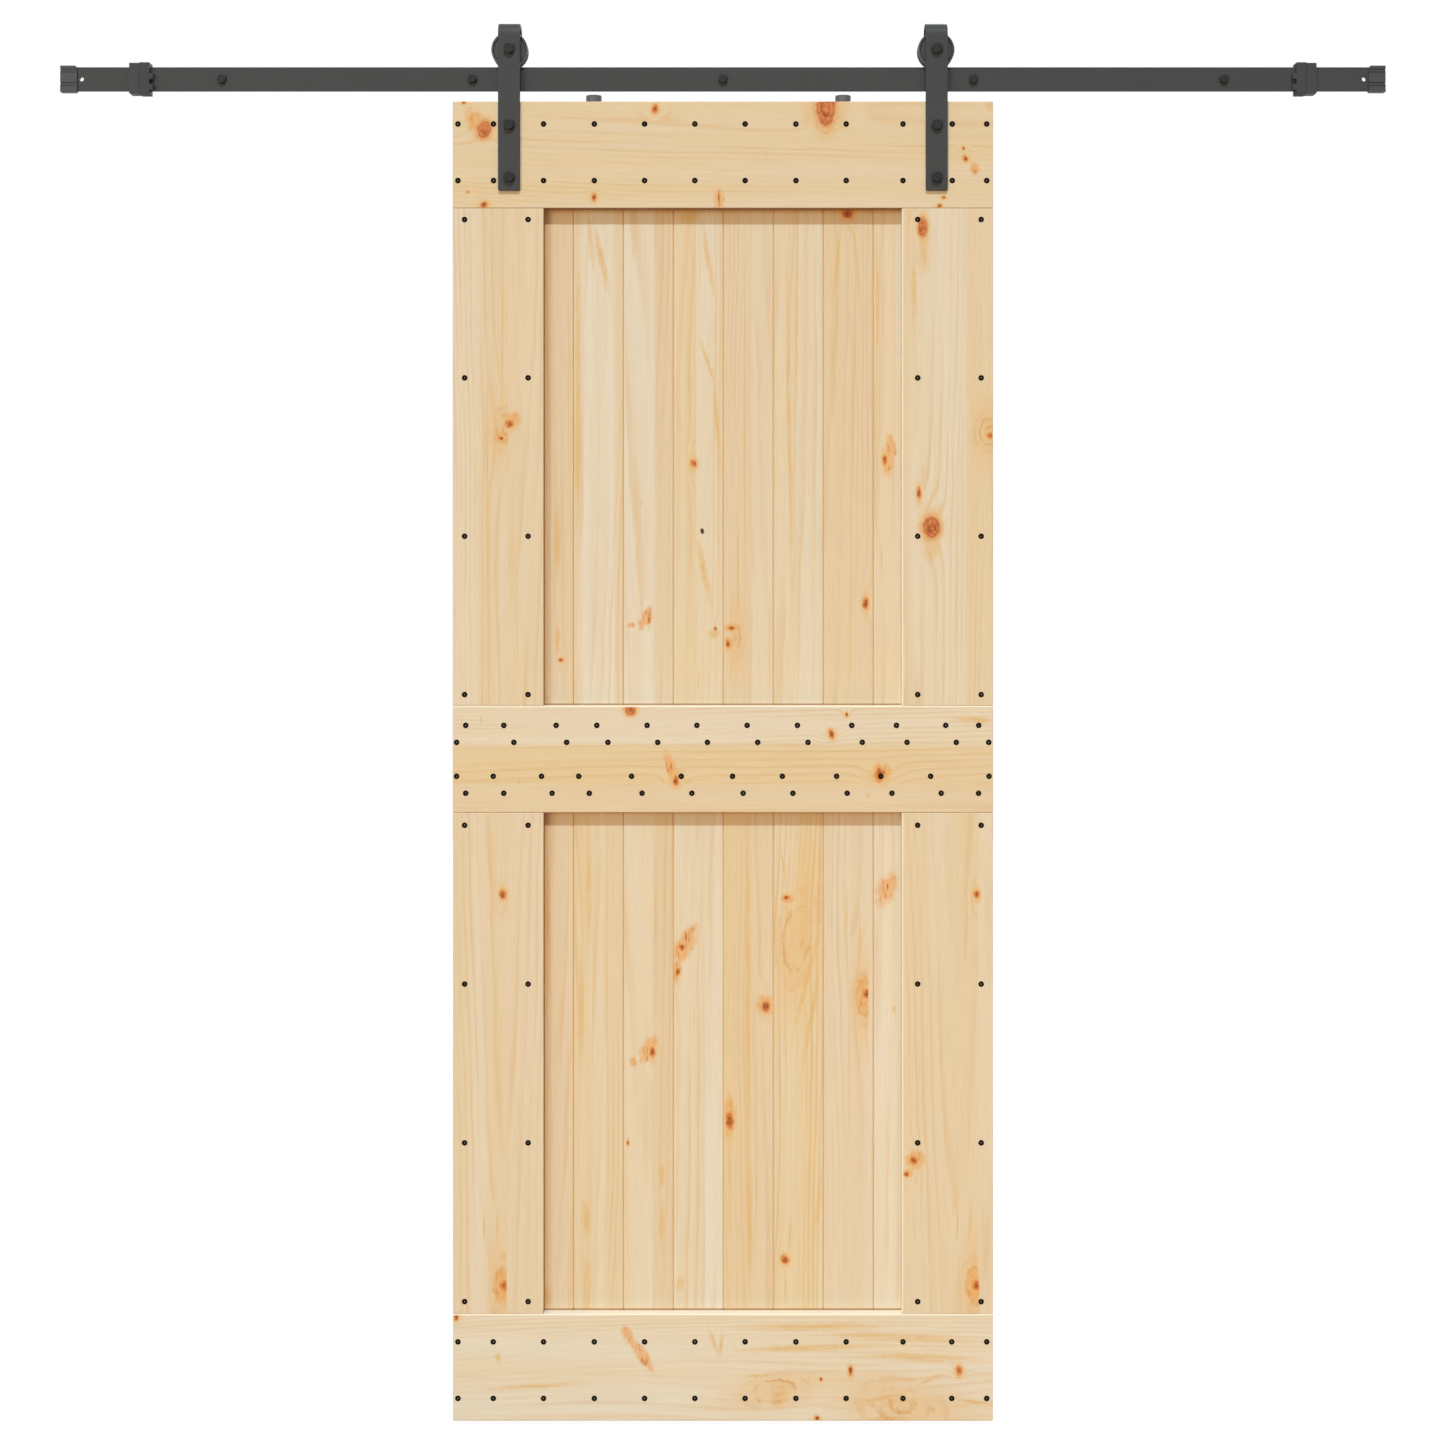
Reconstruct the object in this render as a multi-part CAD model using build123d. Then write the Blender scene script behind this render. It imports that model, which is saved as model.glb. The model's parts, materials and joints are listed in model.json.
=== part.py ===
from build123d import *
import os
from math import sqrt

# Sliding barn door: a pine door leaf that hangs on two strap rollers from a flat steel track
# Origin on the wall plane at the middle track screw, +X along the track, +Y into the wall, +Z up
# Lengths in millimetres

# Door leaf
door_width = 860.0
door_height = 2100.0
frame_thickness = 20.0
cross_rail_width = 170.0
stile_width = 145.0
mid_rail_middle_drop = 1047.0
board_ease = 1.0

# Tongue-and-groove planks
plank_thickness = 18.0
full_plank_count = 10
left_plank_width = 31.0
right_plank_width = 29.0
plank_gap = 0.4
plank_bevel = 1.2
tongue_length = 6.0
tongue_thickness = 5.0
tongue_play = 0.3

# Countersunk screws that hold the frame to the planks
screw_head_diameter = 9.0
screw_head_proud = 0.5
screw_length = 32.0
screw_side_count = 8
edge_row_inset = 36.0
panel_row_inset = 44.0
mid_outer_row_offset = 54.0
mid_inner_row_offset = 27.0
stile_outer_inset = 19.0
stile_inner_inset = 25.0
upper_stile_end_inset = 18.0
lower_stile_end_inset = 20.0
stile_row_count = 4

# Where each plank takes its screw, as a share of that plank's width, from left to right
edge_row_shares = (0.27, 0.42, 0.42, 0.43, 0.43, 0.43, 0.43, 0.44, 0.44, 0.57, 0.54, 0.65)
mid_row_shares = (
    (0.67, 0.63, 0.67, 0.48, 0.48, 0.47, 0.47, 0.47, 0.55, 0.44, 0.42, 0.21),
    (0.20, 0.83, 0.88, 0.70, 0.69, 0.68, 0.68, 0.68, 0.76, 0.65, 0.63, 0.76),
    (0.20, 0.42, 0.38, 0.12, 0.17, 0.16, 0.18, 0.17, 0.25, 0.13, 0.12, 0.78),
    (0.67, 0.63, 0.59, 0.33, 0.38, 0.37, 0.39, 0.38, 0.46, 0.35, 0.33, 0.20),
)

# Track bar
track_length = 2106.0
track_height = 38.0
track_thickness = 6.0
end_hole_diameter = 7.0
end_hole_inset = 29.0
spacer_length = 32.0
spacer_diameter = 20.0

# Wall screws of the track
track_screw_count = 5
track_screw_pitch = 400.0
track_screw_head_width = 13.0
track_screw_head_height = 5.5
track_screw_diameter = 8.0
track_screw_grip = 47.0
track_screw_tip_length = 8.0

# Roller wheels and the bushes that they turn on
wheel_diameter = 58.0
wheel_width = 24.0
wheel_groove_depth = 3.0
wheel_groove_play = 1.0
wheel_groove_flare = 1.5
bush_diameter = 15.0

# Bent strap hangers
strap_inset = 90.0
strap_width = 35.0
strap_thickness = 5.0
strap_corner_chamfer = 2.0
strap_back_leg_reach = 22.0
wheel_side_gap = 3.0
wheel_corner_gap = 3.0
strap_screw_drop = 38.0
strap_screw_pitch = 83.0
strap_end_margin = 21.5
strap_row_gap = 7.5

# Axle bolts and coach screws of the hangers, with one size of hex head
axle_diameter = 10.0
axle_end_length = 1.5
axle_nut_height = 8.0
hex_width = 16.0
hex_height = 6.4
strap_screw_diameter = 10.0
strap_screw_length = 40.0

# Anti-jump discs on the door's top edge
door_track_gap = 19.0
disc_diameter = 25.0
disc_track_gap = 8.0
disc_front_margin = 1.5
left_disc_inset = 224.0
right_disc_inset = 238.0

# End stops with rubber bumpers
stop_end_inset = 107.0
stop_clamp_length = 16.0
stop_clamp_rim = 5.0
stop_wall = 8.0
stop_bumper_length = 16.0
stop_bumper_rim = 6.0
nub_length = 6.0
nub_height = 9.0
upper_nub_rise = 3.0
lower_nub_fall = 14.0

# End caps of the track
cap_length = 27.0
cap_end_wall = 4.5
cap_face_wall = 3.0
cap_rim = 2.0
cap_corner_chamfer = 3.0
cap_groove_width = 3.8
cap_groove_depth = 1.5
upper_groove_rise = 13.8
lower_groove_fall = 7.4

# Clearances
rolling_gap = 0.25
running_gap = 0.1
fit_gap = 0.05
slip_gap = 0.3
hole_play = 0.3
cut_overrun = 5.0

# Depths from the wall
track_back = -spacer_length
track_front = track_back - track_thickness
track_middle = (track_front + track_back) / 2
strap_gap = wheel_width + 2 * wheel_side_gap
door_front = track_middle - strap_gap / 2
strap_front = door_front - strap_thickness
strap_back = track_middle + strap_gap / 2 + strap_thickness
plank_front = door_front + frame_thickness
door_back = plank_front + plank_thickness

# Heights from the track screws
track_top = track_height / 2
groove_radius = wheel_diameter / 2 - wheel_groove_depth
axle_height = track_top + groove_radius + rolling_gap
door_top = -track_height / 2 - door_track_gap
door_bottom = door_top - door_height
top_rail_bottom = door_top - cross_rail_width
mid_rail_middle = door_top - mid_rail_middle_drop
mid_rail_top = mid_rail_middle + cross_rail_width / 2
mid_rail_bottom = mid_rail_middle - cross_rail_width / 2
bottom_rail_top = door_bottom + cross_rail_width
upper_strap_screw = door_top - strap_screw_drop
lower_strap_screw = upper_strap_screw - strap_screw_pitch
strap_bottom = lower_strap_screw - strap_end_margin

# Places across the door and along the track
door_left = -door_width / 2
door_right = door_width / 2
full_plank_width = (door_width - left_plank_width - right_plank_width) / full_plank_count
full_plank_edges = [door_left + left_plank_width + n * full_plank_width for n in range(full_plank_count + 1)]
plank_edges = [door_left] + full_plank_edges + [door_right]
plank_spans = list(zip(plank_edges[:-1], plank_edges[1:]))
strap_places = {"left": door_left + strap_inset, "right": door_right - strap_inset}
track_screw_places = [(n - (track_screw_count - 1) / 2) * track_screw_pitch for n in range(track_screw_count)]
stop_outer = track_length / 2 - stop_end_inset
stop_seam = stop_outer - stop_clamp_length
stop_inner = stop_seam - stop_bumper_length

# Turned pieces are drawn along +Z, then swung so that +Z points into the wall
into_wall = (-Plane.XZ).location
downwards = (-Plane.XY).location


def group(shapes):
    return Compound([solid for shape in shapes for solid in shape.solids()])


def block(left, right, front, back, bottom, top):
    centre = Pos((left + right) / 2, (front + back) / 2, (bottom + top) / 2)
    return centre * Box(right - left, back - front, top - bottom)


def tube(inner_diameter, outer_diameter, length):
    return extrude(Circle(outer_diameter / 2) - Circle(inner_diameter / 2), length)


def hole_into_wall(x, z, diameter, front, back):
    length = back - front + 2 * cut_overrun
    return Pos(x, front - cut_overrun, z) * into_wall * extrude(Circle(diameter / 2), length)


def hex_prism(width, height):
    return extrude(RegularPolygon(width / 2, 6, major_radius=False), height)


def spike(diameter, length):
    top = RegularPolygon(diameter / 2, screw_side_count).face()
    tip = (0, 0, length)
    sides = [make_face(Polyline(edge @ 0, edge @ 1, tip, close=True)).face() for edge in top.edges()]
    return Solid(Shell([top, *sides]))


# Door frame boards
def frame_board(left, right, bottom, top):
    board = block(left, right, door_front, plank_front, bottom, top)
    front_edges = board.faces().sort_by(Axis.Y)[0].edges()
    return chamfer(front_edges, board_ease)


def frame_pieces():
    left_inner = door_left + stile_width
    right_inner = door_right - stile_width
    return {
        "top_rail": frame_board(door_left, door_right, top_rail_bottom, door_top),
        "mid_rail": frame_board(door_left, door_right, mid_rail_bottom, mid_rail_top),
        "bottom_rail": frame_board(door_left, door_right, door_bottom, bottom_rail_top),
        "upper_left_stile": frame_board(door_left, left_inner, mid_rail_top, top_rail_bottom),
        "upper_right_stile": frame_board(right_inner, door_right, mid_rail_top, top_rail_bottom),
        "lower_left_stile": frame_board(door_left, left_inner, bottom_rail_top, mid_rail_bottom),
        "lower_right_stile": frame_board(right_inner, door_right, bottom_rail_top, mid_rail_bottom),
    }


# Planks behind the frame
def plank(left, right, bottom, top, has_groove, has_tongue):
    tongue_front = (plank_front + door_back - tongue_thickness) / 2
    tongue_back = tongue_front + tongue_thickness
    groove_front = tongue_front - tongue_play
    groove_back = tongue_back + tongue_play
    tongue_end = right + tongue_length
    groove_end = left + tongue_length
    outline = [(left + plank_bevel, plank_front), (right - plank_bevel, plank_front)]
    outline += [(right, plank_front + plank_bevel)]
    if has_tongue:
        outline += [(right, tongue_front), (tongue_end, tongue_front)]
        outline += [(tongue_end, tongue_back), (right, tongue_back)]
    outline += [(right, door_back), (left, door_back)]
    if has_groove:
        outline += [(left, groove_back), (groove_end, groove_back)]
        outline += [(groove_end, groove_front), (left, groove_front)]
    outline += [(left, plank_front + plank_bevel)]
    section = make_face(Polyline(*outline, close=True))
    return Pos(0, 0, bottom) * extrude(section, top - bottom, dir=(0, 0, 1))


def plank_pieces():
    last = len(plank_spans) - 1
    pieces = {}
    for n, (left, right) in enumerate(plank_spans):
        joint = right if n == last else right - plank_gap
        upper = plank(left, joint, mid_rail_middle + plank_gap, door_top, n > 0, n < last)
        lower = plank(left, joint, door_bottom, mid_rail_middle, n > 0, n < last)
        pieces[f"upper_plank_{n + 1:02d}"] = upper
        pieces[f"lower_plank_{n + 1:02d}"] = lower
    return pieces


# Screws through the frame into the planks
def screw_row(height, shares):
    return [(left + share * (right - left), height) for (left, right), share in zip(plank_spans, shares)]


# Under the hangers the top rail's screws stand just outside the straps
def top_rail_row(height):
    row = screw_row(height, edge_row_shares)
    beside_strap = strap_width / 2 + strap_row_gap
    row[1] = (strap_places["left"] - beside_strap, height)
    row[-2] = (strap_places["right"] + beside_strap, height)
    return row


def stile_screw_places(bottom, top, end_inset):
    outer = door_width / 2 - stile_outer_inset
    inner = door_width / 2 - stile_width + stile_inner_inset
    pitch = (top - bottom - 2 * end_inset) / (stile_row_count - 1)
    heights = [bottom + end_inset + n * pitch for n in range(stile_row_count)]
    return [(x, z) for x in (-outer, -inner, inner, outer) for z in heights]


def screw_pieces():
    top_rows = (door_top - edge_row_inset, top_rail_bottom + panel_row_inset)
    bottom_rows = (bottom_rail_top - panel_row_inset, door_bottom + edge_row_inset)
    mid_offsets = (mid_outer_row_offset, mid_inner_row_offset, -mid_inner_row_offset, -mid_outer_row_offset)
    mid_rows = [
        place
        for offset, shares in zip(mid_offsets, mid_row_shares)
        for place in screw_row(mid_rail_middle + offset, shares)
    ]
    upper_stiles = stile_screw_places(mid_rail_top, top_rail_bottom, upper_stile_end_inset)
    lower_stiles = stile_screw_places(bottom_rail_top, mid_rail_bottom, lower_stile_end_inset)
    places = {
        "top_rail_screws": [place for z in top_rows for place in top_rail_row(z)],
        "mid_rail_screws": mid_rows,
        "bottom_rail_screws": [place for z in bottom_rows for place in screw_row(z, edge_row_shares)],
        "stile_screws": upper_stiles + lower_stiles,
    }
    screw = into_wall * spike(screw_head_diameter, screw_length)
    seat = door_front - screw_head_proud
    return {node: group([Pos(x, seat, z) * screw for x, z in spots]) for node, spots in places.items()}


# Hangers: a flat bar bent over the wheel, with its long leg screwed to the door's face
def strap_outline():
    inner = strap_gap / 2
    outer = inner + strap_thickness
    wheel_top = axle_height + wheel_diameter / 2
    bend = wheel_top + wheel_corner_gap - sqrt(inner**2 - (wheel_width / 2) ** 2)
    back_end = axle_height - strap_back_leg_reach
    front_leg = [(0, -outer, bend), (0, -outer, strap_bottom), (0, -inner, strap_bottom), (0, -inner, bend)]
    back_leg = [(0, inner, bend), (0, inner, back_end), (0, outer, back_end), (0, outer, bend)]
    inside_bend = ThreePointArc(front_leg[-1], (0, 0, bend + inner), back_leg[0])
    outside_bend = ThreePointArc(back_leg[-1], (0, 0, bend + outer), front_leg[0])
    return Polyline(*front_leg) + inside_bend + Polyline(*back_leg) + outside_bend


def hanger_strap():
    bar = extrude(make_face(strap_outline()), strap_width / 2, both=True)
    lowest_corners = bar.edges().filter_by(Axis.Y).group_by(Axis.Z)[0]
    bar = Pos(0, track_middle, 0) * chamfer(lowest_corners, strap_corner_chamfer)
    axle_hole = axle_diameter + 2 * hole_play
    screw_hole = strap_screw_diameter + 2 * hole_play
    bar -= hole_into_wall(0, axle_height, axle_hole, strap_front, strap_back)
    for z in (upper_strap_screw, lower_strap_screw):
        bar -= hole_into_wall(0, z, screw_hole, strap_front, door_front)
    return bar


def axle_bolt():
    length = strap_back - strap_front + axle_nut_height + axle_end_length
    shank = extrude(Circle(axle_diameter / 2), length)
    return into_wall * (hex_prism(hex_width, -hex_height) + shank)


def axle_nut():
    bore = extrude(Circle(axle_diameter / 2 + fit_gap), axle_nut_height)
    return into_wall * (hex_prism(hex_width, axle_nut_height) - bore)


def strap_screw():
    return into_wall * (hex_prism(hex_width, -hex_height) + spike(strap_screw_diameter, strap_screw_length))


def hanger_pieces():
    strap = hanger_strap()
    bolt = axle_bolt()
    nut = axle_nut()
    screw = strap_screw()
    bush = into_wall * tube(axle_diameter + 2 * fit_gap, bush_diameter, strap_gap)
    places = strap_places.values()
    screw_places = [(x, z) for x in places for z in (upper_strap_screw, lower_strap_screw)]
    pieces = {f"{side}_hanger_strap": Pos(x, 0, 0) * strap for side, x in strap_places.items()}
    pieces["axle_bolts"] = group([Pos(x, strap_front, axle_height) * bolt for x in places])
    pieces["axle_nuts"] = group([Pos(x, strap_back, axle_height) * nut for x in places])
    pieces["axle_bushes"] = group([Pos(x, door_front, axle_height) * bush for x in places])
    pieces["strap_screws"] = group([Pos(x, strap_front, z) * screw for x, z in screw_places])
    return pieces


# Grooved wheels that roll on the track's top edge
def grooved_wheel():
    bore = bush_diameter / 2 + running_gap
    rim = wheel_diameter / 2
    side = wheel_width / 2
    floor = track_thickness / 2 + wheel_groove_play
    mouth = floor + wheel_groove_flare
    outline = [(bore, -side), (rim, -side), (rim, -mouth), (groove_radius, -floor)]
    outline += [(groove_radius, floor), (rim, mouth), (rim, side), (bore, side)]
    section = make_face(Polyline(*outline, close=True))
    return revolve(section, Axis.Y)


def wheel_pieces():
    wheel = grooved_wheel()
    return {f"{side}_wheel": Pos(x, track_middle, axle_height) * wheel for side, x in strap_places.items()}


# Anti-jump discs, each held down by one screw
def disc_pieces():
    disc_height = door_track_gap - disc_track_gap
    disc = extrude(Circle(disc_diameter / 2), disc_height)
    screw = downwards * spike(screw_head_diameter, screw_length)
    screw_top = door_top + disc_height + screw_head_proud
    depth = door_front + disc_front_margin + disc_diameter / 2
    places = (door_left + left_disc_inset, door_right - right_disc_inset)
    return {
        "anti_jump_discs": group([Pos(x, depth, door_top) * disc for x in places]),
        "anti_jump_screws": group([Pos(x, depth, screw_top) * screw for x in places]),
    }


# Track
def track_bar():
    bar = block(-track_length / 2, track_length / 2, track_front, track_back, -track_top, track_top)
    end_hole = track_length / 2 - end_hole_inset
    for x in track_screw_places:
        bar -= hole_into_wall(x, 0, track_screw_diameter + 2 * hole_play, track_front, track_back)
    for x in (-end_hole, end_hole):
        bar -= hole_into_wall(x, 0, end_hole_diameter, track_front, track_back)
    return bar


def track_screw():
    shank_length = track_screw_grip - track_front
    head = hex_prism(track_screw_head_width, -track_screw_head_height)
    shank = extrude(RegularPolygon(track_screw_diameter / 2, screw_side_count), shank_length)
    tip = Pos(0, 0, shank_length) * spike(track_screw_diameter, track_screw_tip_length)
    return into_wall * (head + shank + tip)


def track_pieces():
    spacer = into_wall * tube(track_screw_diameter + 2 * hole_play, spacer_diameter, spacer_length)
    screw = track_screw()
    return {
        "track_bar": track_bar(),
        "track_spacers": group([Pos(x, track_back, 0) * spacer for x in track_screw_places]),
        "track_screws": group([Pos(x, track_front, 0) * screw for x in track_screw_places]),
    }


# End stops, drawn for the right end and mirrored for the left
def collar(inner, outer, rim):
    front = track_front - slip_gap
    back = track_back + slip_gap
    height = track_top + slip_gap
    body = block(inner, outer, front - stop_wall, back + stop_wall, -height - rim, height + rim)
    return body - block(inner - cut_overrun, outer + cut_overrun, front, back, -height, height)


def stop_bumper():
    bumper = collar(stop_inner, stop_seam, stop_bumper_rim)
    back = track_front - slip_gap
    for middle in (upper_nub_rise, -lower_nub_fall):
        bottom = middle - nub_height / 2
        top = middle + nub_height / 2
        bumper += block(stop_inner - nub_length, stop_inner, back - stop_wall, back, bottom, top)
    return bumper


def stop_pieces():
    clamp = collar(stop_seam, stop_outer, stop_clamp_rim)
    bumper = stop_bumper()
    return {
        "left_stop_clamp": mirror(clamp, Plane.YZ),
        "right_stop_clamp": clamp,
        "stop_bumpers": group([mirror(bumper, Plane.YZ), bumper]),
    }


# End caps, drawn for the right end and mirrored for the left
def end_cap():
    outer = track_length / 2 + cap_end_wall
    inner = outer - cap_length
    open_end = inner - cut_overrun
    pocket_front = track_front - fit_gap
    pocket_back = track_back + fit_gap
    pocket_height = track_top + fit_gap
    face = pocket_front - cap_face_wall
    height = pocket_height + cap_rim
    cap = block(inner, outer, face, pocket_back + cap_face_wall, -height, height)
    cap = chamfer(cap.edges().filter_by(Axis.Y).group_by(Axis.X)[0], cap_corner_chamfer)
    cap -= block(open_end, track_length / 2, pocket_front, pocket_back, -pocket_height, pocket_height)
    for middle in (upper_groove_rise, -lower_groove_fall):
        bottom = middle - cap_groove_width / 2
        top = middle + cap_groove_width / 2
        cap -= block(open_end, outer + cut_overrun, face - cut_overrun, face + cap_groove_depth, bottom, top)
    return cap


def cap_pieces():
    cap = end_cap()
    return {"left_end_cap": mirror(cap, Plane.YZ), "right_end_cap": cap}


def all_pieces():
    door = frame_pieces() | plank_pieces() | screw_pieces() | disc_pieces()
    rollers = hanger_pieces() | wheel_pieces()
    track = track_pieces() | stop_pieces() | cap_pieces()
    return door | rollers | track


os.makedirs("parts", exist_ok=True)
for node, shape in all_pieces().items():
    export_step(shape, f"parts/{node}.step")
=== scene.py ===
import json
import random
from math import cos, pi, radians, sin, tan

import bmesh
import bpy
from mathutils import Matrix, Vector

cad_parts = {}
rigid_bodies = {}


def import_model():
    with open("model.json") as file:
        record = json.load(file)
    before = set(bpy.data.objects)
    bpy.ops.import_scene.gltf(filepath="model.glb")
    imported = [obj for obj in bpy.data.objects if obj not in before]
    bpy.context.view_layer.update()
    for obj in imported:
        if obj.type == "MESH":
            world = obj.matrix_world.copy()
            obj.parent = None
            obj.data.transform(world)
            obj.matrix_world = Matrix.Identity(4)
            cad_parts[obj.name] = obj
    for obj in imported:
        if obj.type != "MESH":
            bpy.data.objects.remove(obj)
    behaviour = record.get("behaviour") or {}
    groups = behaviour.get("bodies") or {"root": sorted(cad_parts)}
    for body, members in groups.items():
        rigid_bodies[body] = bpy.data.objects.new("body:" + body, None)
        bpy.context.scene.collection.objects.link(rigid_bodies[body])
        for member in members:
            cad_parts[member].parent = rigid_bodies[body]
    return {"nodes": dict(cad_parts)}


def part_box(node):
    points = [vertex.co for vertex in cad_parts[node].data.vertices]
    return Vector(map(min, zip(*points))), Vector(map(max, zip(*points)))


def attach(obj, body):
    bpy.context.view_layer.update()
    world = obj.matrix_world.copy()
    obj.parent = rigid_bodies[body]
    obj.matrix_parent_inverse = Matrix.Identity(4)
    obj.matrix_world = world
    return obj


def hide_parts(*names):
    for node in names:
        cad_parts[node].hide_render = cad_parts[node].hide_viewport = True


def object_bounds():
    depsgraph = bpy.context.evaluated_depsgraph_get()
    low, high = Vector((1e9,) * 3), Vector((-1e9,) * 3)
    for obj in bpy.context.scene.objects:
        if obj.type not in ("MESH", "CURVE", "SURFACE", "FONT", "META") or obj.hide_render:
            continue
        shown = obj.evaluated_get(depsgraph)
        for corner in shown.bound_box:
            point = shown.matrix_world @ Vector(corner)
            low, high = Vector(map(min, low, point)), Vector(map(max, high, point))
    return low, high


for leftover in list(bpy.data.objects):
    bpy.data.objects.remove(leftover)
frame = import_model()
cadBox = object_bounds()
nodes = frame["nodes"]
print("frame loaded:", len(nodes), "nodes")


# screen colour 0-255 to linear light
def paint(red, green, blue):
    steps = [value / 255 for value in (red, green, blue)]
    return tuple(s / 12.92 if s <= 0.04045 else ((s + 0.055) / 1.055) ** 2.4 for s in steps) + (1.0,)


def grey(value):
    return (value, value, value, 1.0)


# small helpers for building shader trees
def newMaterial(name):
    material = bpy.data.materials.new(name)
    material.use_nodes = True
    tree = material.node_tree
    return material, tree, tree.nodes["Principled BSDF"]


def feed(tree, socket, value):
    if isinstance(value, bpy.types.NodeSocket):
        tree.links.new(value, socket)
    else:
        socket.default_value = value


def calc(tree, operation, *values, clamp=False):
    node = tree.nodes.new("ShaderNodeMath")
    node.operation = operation
    node.use_clamp = clamp
    for socket, value in zip(node.inputs, values):
        feed(tree, socket, value)
    return node.outputs[0]


def vectorCalc(tree, operation, *values):
    node = tree.nodes.new("ShaderNodeVectorMath")
    node.operation = operation
    for socket, value in zip(node.inputs, values):
        feed(tree, socket, value)
    return node.outputs["Value" if operation == "LENGTH" else "Vector"]


def objectPlace(tree):
    return tree.nodes.new("ShaderNodeTexCoord").outputs["Object"]


def splitVector(tree, vector):
    node = tree.nodes.new("ShaderNodeSeparateXYZ")
    feed(tree, node.inputs[0], vector)
    return node.outputs[0], node.outputs[1], node.outputs[2]


def joinVector(tree, *values):
    node = tree.nodes.new("ShaderNodeCombineXYZ")
    for socket, value in zip(node.inputs, values):
        feed(tree, socket, value)
    return node.outputs[0]


def noise(tree, place, stretch, detail=2.0):
    node = tree.nodes.new("ShaderNodeTexNoise")
    node.inputs["Scale"].default_value = 1.0
    node.inputs["Detail"].default_value = detail
    feed(tree, node.inputs["Vector"], vectorCalc(tree, "MULTIPLY", place, stretch))
    return node.outputs["Fac"]


def ramp(tree, factor, stops, mode="EASE"):
    node = tree.nodes.new("ShaderNodeValToRGB")
    colours = node.color_ramp
    colours.interpolation = mode
    colours.elements.remove(colours.elements[1])
    colours.elements[0].position, colours.elements[0].color = stops[0]
    for position, colour in stops[1:]:
        colours.elements.new(position).color = colour
    feed(tree, node.inputs[0], factor)
    return node.outputs["Color"]


def spread(tree, value, fromLow, fromHigh, toLow, toHigh):
    node = tree.nodes.new("ShaderNodeMapRange")
    node.interpolation_type = "SMOOTHSTEP"
    for socket, setting in zip(node.inputs, (value, fromLow, fromHigh, toLow, toHigh)):
        feed(tree, socket, setting)
    return node.outputs[0]


def mixColour(tree, factor, first, second, mode="MIX"):
    node = tree.nodes.new("ShaderNodeMix")
    node.data_type = "RGBA"
    node.blend_type = mode
    feed(tree, node.inputs[0], factor)
    feed(tree, node.inputs[6], first)
    feed(tree, node.inputs[7], second)
    return node.outputs[2]


def bump(tree, shader, height, strength, distance):
    node = tree.nodes.new("ShaderNodeBump")
    node.inputs["Strength"].default_value = strength
    node.inputs["Distance"].default_value = distance
    feed(tree, node.inputs["Height"], height)
    tree.links.new(node.outputs[0], shader.inputs["Normal"])


# pine: colours and grain shared by every board; lengths in metres, scales are noise lumps per metre
pine = {
    "pale": paint(231, 212, 184), "golden": paint(229, 195, 143), "blush": paint(227, 196, 156),
    "lateWood": paint(219, 174, 115), "halo": paint(230, 180, 112), "haloFade": (0.1, 1.1, 0.5, 0.0),
    "haloUneven": 0.5, "stripBlend": 0.04, "roughness": (0.3, 0.7, 0.53, 0.67), "specular": 0.3,
    "bumpStrength": 0.25, "bumpHeight": 0.0004, "bumpFibres": 0.6, "bumpRings": 0.5,
    "lumpScale": (120, 120, 120), "farAway": 20.0, "throughBoard": 1000.0,
}
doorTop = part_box("top_rail")[1][2]


# axes across and along the grain: rails lie across the door, stiles and planks stand up
def grainAxes(node):
    return (2, 0) if node.endswith("rail") else (0, 2)


# distance to the nearest of several oval marks, 1 at a mark's rim; None without marks
# a mark is (x, height from the door's top, half width, half height) in mm, then a lean in degrees and the x
# of a glue line that cuts it off, where it has them
def nearestMark(tree, place, marks):
    nearest = None
    for x, z, width, height, *more in marks:
        node = tree.nodes.new("ShaderNodeMapping")
        node.vector_type = "TEXTURE"
        node.inputs["Location"].default_value = (x / 1000, 0, doorTop + z / 1000)
        node.inputs["Rotation"].default_value = (0, radians(-more[0]) if more else 0, 0)
        node.inputs["Scale"].default_value = (width / 1000, pine["throughBoard"], height / 1000)
        feed(tree, node.inputs["Vector"], place)
        distance = vectorCalc(tree, "LENGTH", node.outputs[0])
        for cut in more[1:]:
            side = "GREATER_THAN" if cut >= x else "LESS_THAN"
            beyond = calc(tree, side, splitVector(tree, place)[0], cut / 1000)
            distance = calc(tree, "MULTIPLY_ADD", beyond, pine["farAway"], distance)
        nearest = distance if nearest is None else calc(tree, "MINIMUM", nearest, distance)
    return nearest


# centred noise, from -0.5 to 0.5
def sway(tree, place, scale, detail=2.0):
    return calc(tree, "SUBTRACT", noise(tree, place, scale, detail), 0.5)


# glued strips across a board: a seed for the grain, and how golden and how rosy the wood is
def stripTones(tree, share, strips):
    seed = ramp(tree, share, [(start, grey(seed)) for start, golden, blush, seed in strips], "CONSTANT")
    tones = [(start, (golden, blush, 0.0, 1.0)) for start, golden, blush, seed in strips]
    stops = tones[:1]
    for (_, before), (start, after) in zip(tones[:-1], tones[1:]):
        stops += [(start - pine["stripBlend"], before), (start + pine["stripBlend"], after)]
    tone = tree.nodes.new("ShaderNodeSeparateColor")
    feed(tree, tone.inputs[0], ramp(tree, share, stops))
    return seed, tone.outputs[0], tone.outputs[1]


# growth rings round a pith behind the board, lifted where a branch comes through
growth = {
    "strength": 0.5, "pitch": 0.0062, "taper": 0.012,
    "driftScale": (5, 5, 1.1), "drift": 0.055, "seedShift": 0.09,
    "jitterScale": (90, 90, 7), "jitter": 0.0036, "bulgeFall": -0.9, "bulgeRings": 1.5,
    "stops": [(0.0, grey(0.0)), (0.42, grey(0.16)), (0.8, grey(1.0)), (1.0, grey(0.0))],
    "vividScale": (38, 38, 1.6), "vividness": (0.36, 0.68, 0.1, 1.0),
}


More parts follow.
